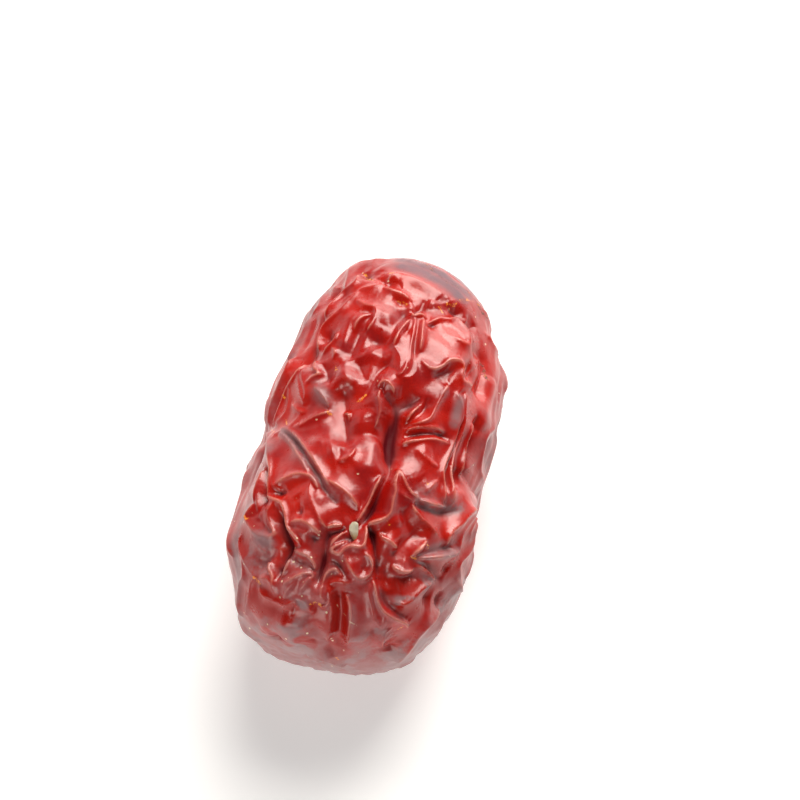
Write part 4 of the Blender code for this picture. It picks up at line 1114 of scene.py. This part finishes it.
# Painted reflection of the table on the tip end's lower edge
painted_table_reflection = (upward + flakes * 0.3).fade(0.05, 0.5) * along.fade(-17, -9) * 0.95
# Gaps in the painted sheen, where a darker red is painted as skin mirroring the dark room
window = (red_skin.kept("window_gap") + mottle * 0.8).fade(1.1, 1.6)
painted_sheen = red_skin.kept("sheen_gap").fade(0.2, 1.5)
painted_sheen = painted_sheen + red_skin.kept("streak_gap").fade(0.1, 0.9) * 1.2 + tip * 0.5 + rim
painted_sheen = painted_sheen * film.step(0.30, 0.62) * (1 - window) * (1 - valley * 0.8)
painted_sheen = painted_sheen.math("MAXIMUM", painted_sheen, painted_table_reflection)
cap = (red_skin.kept("cap_gap") + flakes * 0.4 + film * 2.2).fade(1.6, 3.2)

# Cracks, crust, a hair and specks of dust
crack = (red_skin.kept("crack_gap") + shreds * 0.9).fade(0.45, 0.58)
crust = (red_skin.kept("crust_gap") + flakes * 1.9 + film * 0.6).fade(1.15, 1.4)
hair = red_skin.kept("hair_gap").fade(0.03, 0.10)
specks = red_skin.node("ShaderNodeTexVoronoi", {}, {
    "Vector": red_skin.place(), "Scale": SPECK_SCALE,
})
dusty = red_skin.kept("dust_gap").fade(0.4, 2.6)
dust = specks.fade(0.08, 0.14) * (red_skin.noise(500, 2, 0.5) + dusty * 0.3).step(0.60, 0.66)

# The colours, each laid over the last. The painted sheen is a pale painted reflection at the tip's
# edge and is darkened to painted shade on the flanks
# The sheen's colour: a paler painted reflection towards the outline, most at the tip end
sheen_colour = red_skin.mix(rim * (0.8 - body_side * 0.5), SHEEN_GREY, RIM_REFLECTION_GREY)
# Painted shade on the flanks: the sheen is darkened to mauve there
sheen_colour = red_skin.mix(rim * body_side * 0.65, sheen_colour, MAUVE)
LAYERS = (
    # Painted shade on the tip end
    (tip * 0.8, SHADED_TIP_RED),
    # Painted shade in the deep folds
    (valley * 0.85, SHADE_MAROON),
    # Painted shade in the creases
    (crease_shade * 0.6, MAUVE),
    # Pale crests: partly stretched skin, partly painted highlight
    (crest * mottle.step(0.15, 0.55) * 0.75, PALE),
    # Painted dark reflection: a deeper, darker red in the gaps of the sheen
    (window * 0.8, UNREFLECTING_RED),
    # Painted sheen: a purple-grey painted reflection over the smooth parts
    (painted_sheen * 0.8, sheen_colour),
    (cap * (0.5 + mottle * 0.7), PURPLE),
    (crust * 0.85, BROWN),
    (crust * shreds.step(0.52, 0.60), AMBER),
    (crack, AMBER),
    (scar * 0.9, CORK),
    (scar * shreds.step(0.45, 0.6), BROWN),
    (point * 0.9, BROWN),
    (hair * 0.6, CREAM),
    (dust * 0.9, CREAM),
)
colour = red_skin.mix(broad.step(0.35, 0.65) * 0.55 + mottle.step(0.4, 0.75) * 0.4, RED, DARK_RED)
for share, over in LAYERS:
    colour = red_skin.mix(share, colour, over)
rough = ROUGHNESS + mottle.step(0.35, 0.7) * 0.07 + painted_sheen * 0.14 + valley * 0.24
rough = rough + crust * 0.3 + scar * 0.4
glossy = red_skin.surface({
    "Base Color": colour,
    "Roughness": rough,
    "Coat Weight": COAT * (1 - valley) * (1 - painted_sheen * 0.4) * (1 - window * 0.7) * (1 - cap),
    "Coat Roughness": COAT_ROUGHNESS,
    "Normal": red_skin.bump(grain * 0.7 + mottle + (crust + scar) * shreds * 4, BUMP),
    "Subsurface Weight": FLESH_LIGHT,
    "Subsurface Radius": FLESH_COLOURS,
    "Subsurface Scale": FLESH_DEPTH,
})

# Painted shade: the floors of the deep folds get a matte, nearly black-red shader with no shine
painted_fold_shade = red_skin.node("ShaderNodeBsdfDiffuse", {}, {"Color": SHADE_MAROON})
shown = red_skin.node("ShaderNodeMixShader", {}, {
    0: valley.step(0.45, 0.95) * 0.85, 1: glossy, 2: painted_fold_shade,
})
red_skin.fill(red_skin.tree.nodes["Material Output"].inputs["Surface"], shown)
skin.data.materials.clear()
skin.data.materials.append(red_skin.material)

# The crumb
# A pale chip of dry leaf, caught in the deep fold of the middle. A small ball is cut flat on a few
# sides, squeezed and laid where the fold is open.
CRUMB_PLACE = (-17, -72)
CRUMB_SIZE = (0.62, 1.02, 0.45)
CRUMB_LIFT = 0.10
CRUMB_SUBDIVISIONS = 4
CRUMB_CUTS = 9
CRUMB_CUT_PLACE = 0.60
CRUMB_CUT_SHARPNESS = 0.95
CRUMB_UNEVENNESS = (0.04, 0.3)
CRUMB_GRAIN = 0.00008
CRUMB_ROUGHNESS = 0.75
DARKER_END_BROWN = (0.34, 0.22, 0.10, 1)
DRY_GREEN = (0.56, 0.51, 0.37, 1)
DULL_GREEN = (0.40, 0.35, 0.26, 1)
FRUIT_MIDDLE = np.array([0, 0, THICKNESS / 2]) * MM


def seen_spot(place):
    """The point of the finished skin that is seen at this place of the sight plane."""
    eye = FRUIT_MIDDLE + front[2] * EYE_DISTANCE * MM
    target = FRUIT_MIDDLE + (place[0] * front[0] + place[1] * front[1]) * MM / TENTHS_PER_MM
    return np.array(skin.ray_cast(Vector(eye), Vector(target - eye))[1])


bpy.ops.object.select_all(action="DESELECT")
bpy.ops.mesh.primitive_ico_sphere_add(subdivisions=CRUMB_SUBDIVISIONS, radius=1)
crumb = bpy.context.object
crumb.name = "crumb"
crumb.data.name = "crumb"
chip = coordinates(crumb.data)
rng = random.Random(SEED + 3)
for _ in range(CRUMB_CUTS):
    cut = np.array([rng.gauss(0, 1) for _ in range(3)])
    cut = cut / np.linalg.norm(cut)
    beyond = np.clip(chip @ cut - CRUMB_CUT_PLACE, 0, None)
    chip = chip - np.outer(beyond, cut) * CRUMB_CUT_SHARPNESS
rise, size = CRUMB_UNEVENNESS
chip = chip * (1 + rise * waves(chip, size, rng))[:, None]
keep_values(crumb.data, "upper_end", chip[:, 1])
chip = (chip * np.array(CRUMB_SIZE)) @ np.array(front)
spot = seen_spot(CRUMB_PLACE) + front[2] * CRUMB_LIFT * MM
set_coordinates(crumb.data, spot + chip * MM)
crumb.data.shade_smooth()
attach(crumb, "root")
dry_leaf = Finish("dry_leaf")
upper_end = dry_leaf.kept("upper_end").step(-0.6, 0.1)
patchy = dry_leaf.noise(1800, 3, 0.6)
# Darker brown towards the crumb's lower end, as seen from the camera
colour = dry_leaf.mix(upper_end, DARKER_END_BROWN, DRY_GREEN)
colour = dry_leaf.mix(patchy.step(0.45, 0.7) * 0.5, colour, DULL_GREEN)
dry_leaf.surface({
    "Base Color": colour,
    "Roughness": CRUMB_ROUGHNESS,
    "Normal": dry_leaf.bump(patchy, CRUMB_GRAIN),
})
crumb.data.materials.append(dry_leaf.material)

# The table
# A white sheet under the fruit. It gives off a little light of its own, like paper on a light
# table, so that the shadow stays soft.
TABLE_SIZE = 4
SHEET_WHITE = (0.87, 0.87, 0.87, 1)
SHEET_GLOW = 0.3
SHEET_ROUGHNESS = 0.9
bpy.ops.object.select_all(action="DESELECT")
bpy.ops.mesh.primitive_plane_add(size=TABLE_SIZE, location=(0, 0, 0))
table = bpy.context.object
table.name = "table"
white_sheet = Finish("white_sheet")
white_sheet.surface({
    "Base Color": SHEET_WHITE,
    "Roughness": SHEET_ROUGHNESS,
    "Emission Color": (1, 1, 1, 1),
    "Emission Strength": SHEET_GLOW,
})
table.data.materials.append(white_sheet.material)

# The lights
# Square soft lights round the fruit, slightly warm. The large one stands behind it, high over the
# stalk end, and makes the long highlights; the others only lift the sides.
LIGHT_DISTANCE = 0.9
WARM_WHITE = (1.0, 0.96, 0.90)
# Name, direction from the fruit, size in metres, power in watts
LIGHTS = (
    ("key_light", (0.05, 0.68, 0.72), 0.62, 11.0),
    ("window_light", (0.15, 0.92, 0.32), 0.62, 4.0),
    ("side_light", (-0.80, 0.30, 0.50), 0.4, 0.4),
    ("front_light", (-0.25, -0.85, 0.50), 0.45, 3.2),
)
for name, direction, width, watts in LIGHTS:
    direction = Vector(direction).normalized()
    bpy.ops.object.light_add(type="AREA", location=direction * LIGHT_DISTANCE)
    light = bpy.context.object
    light.name = name
    light.data.size = width
    light.data.energy = watts
    light.data.color = WARM_WHITE
    light.rotation_euler = direction.to_track_quat("Z", "Y").to_euler()

# The room
# Pale walls with a dark ceiling, so that the skin mirrors something dark between the lights. Only
# the light that comes from them is there: they are the world's background.
WALLS = 0.75
CEILING = 0.05
WALL_TOP = 0.05
CEILING_START = 0.45
room = bpy.data.worlds.new("room")
room.use_nodes = True
room_nodes = room.node_tree.nodes
room_links = room.node_tree.links
direction = room_nodes.new("ShaderNodeTexCoord")
parts = room_nodes.new("ShaderNodeSeparateXYZ")
brightness = room_nodes.new("ShaderNodeMapRange")
brightness.interpolation_type = "SMOOTHSTEP"
brightness.inputs["From Min"].default_value = WALL_TOP
brightness.inputs["From Max"].default_value = CEILING_START
brightness.inputs["To Min"].default_value = WALLS
brightness.inputs["To Max"].default_value = CEILING
room_links.new(direction.outputs["Generated"], parts.inputs["Vector"])
room_links.new(parts.outputs["Z"], brightness.inputs["Value"])
room_links.new(brightness.outputs["Result"], room_nodes["Background"].inputs["Color"])
bpy.context.scene.world = room
bpy.context.scene.view_settings.view_transform = "Standard"

# The camera
# It stands in front of the tip end, a little to the right, and looks steeply down. The fruit's
# middle is put where the photograph has it.
PHOTO_SIZE = 800
FRUIT_MIDDLE_PIXEL = (371.8, 460.8)
LENS = 100.0
SENSOR = 36.0
NEAREST = 0.01
right, up, back = front
distance = EYE_DISTANCE * MM
pixel = distance * SENSOR / LENS / PHOTO_SIZE
beside = (FRUIT_MIDDLE_PIXEL[0] - PHOTO_SIZE / 2) * pixel
above = (PHOTO_SIZE / 2 - FRUIT_MIDDLE_PIXEL[1]) * pixel
bpy.ops.object.camera_add()
camera = bpy.context.object
camera.location = FRUIT_MIDDLE - beside * right - above * up + distance * back
camera.rotation_euler = Vector(back).to_track_quat("Z", "Y").to_euler()
camera.data.lens = LENS
camera.data.sensor_width = SENSOR
camera.data.clip_start = NEAREST
bpy.context.scene.camera = camera
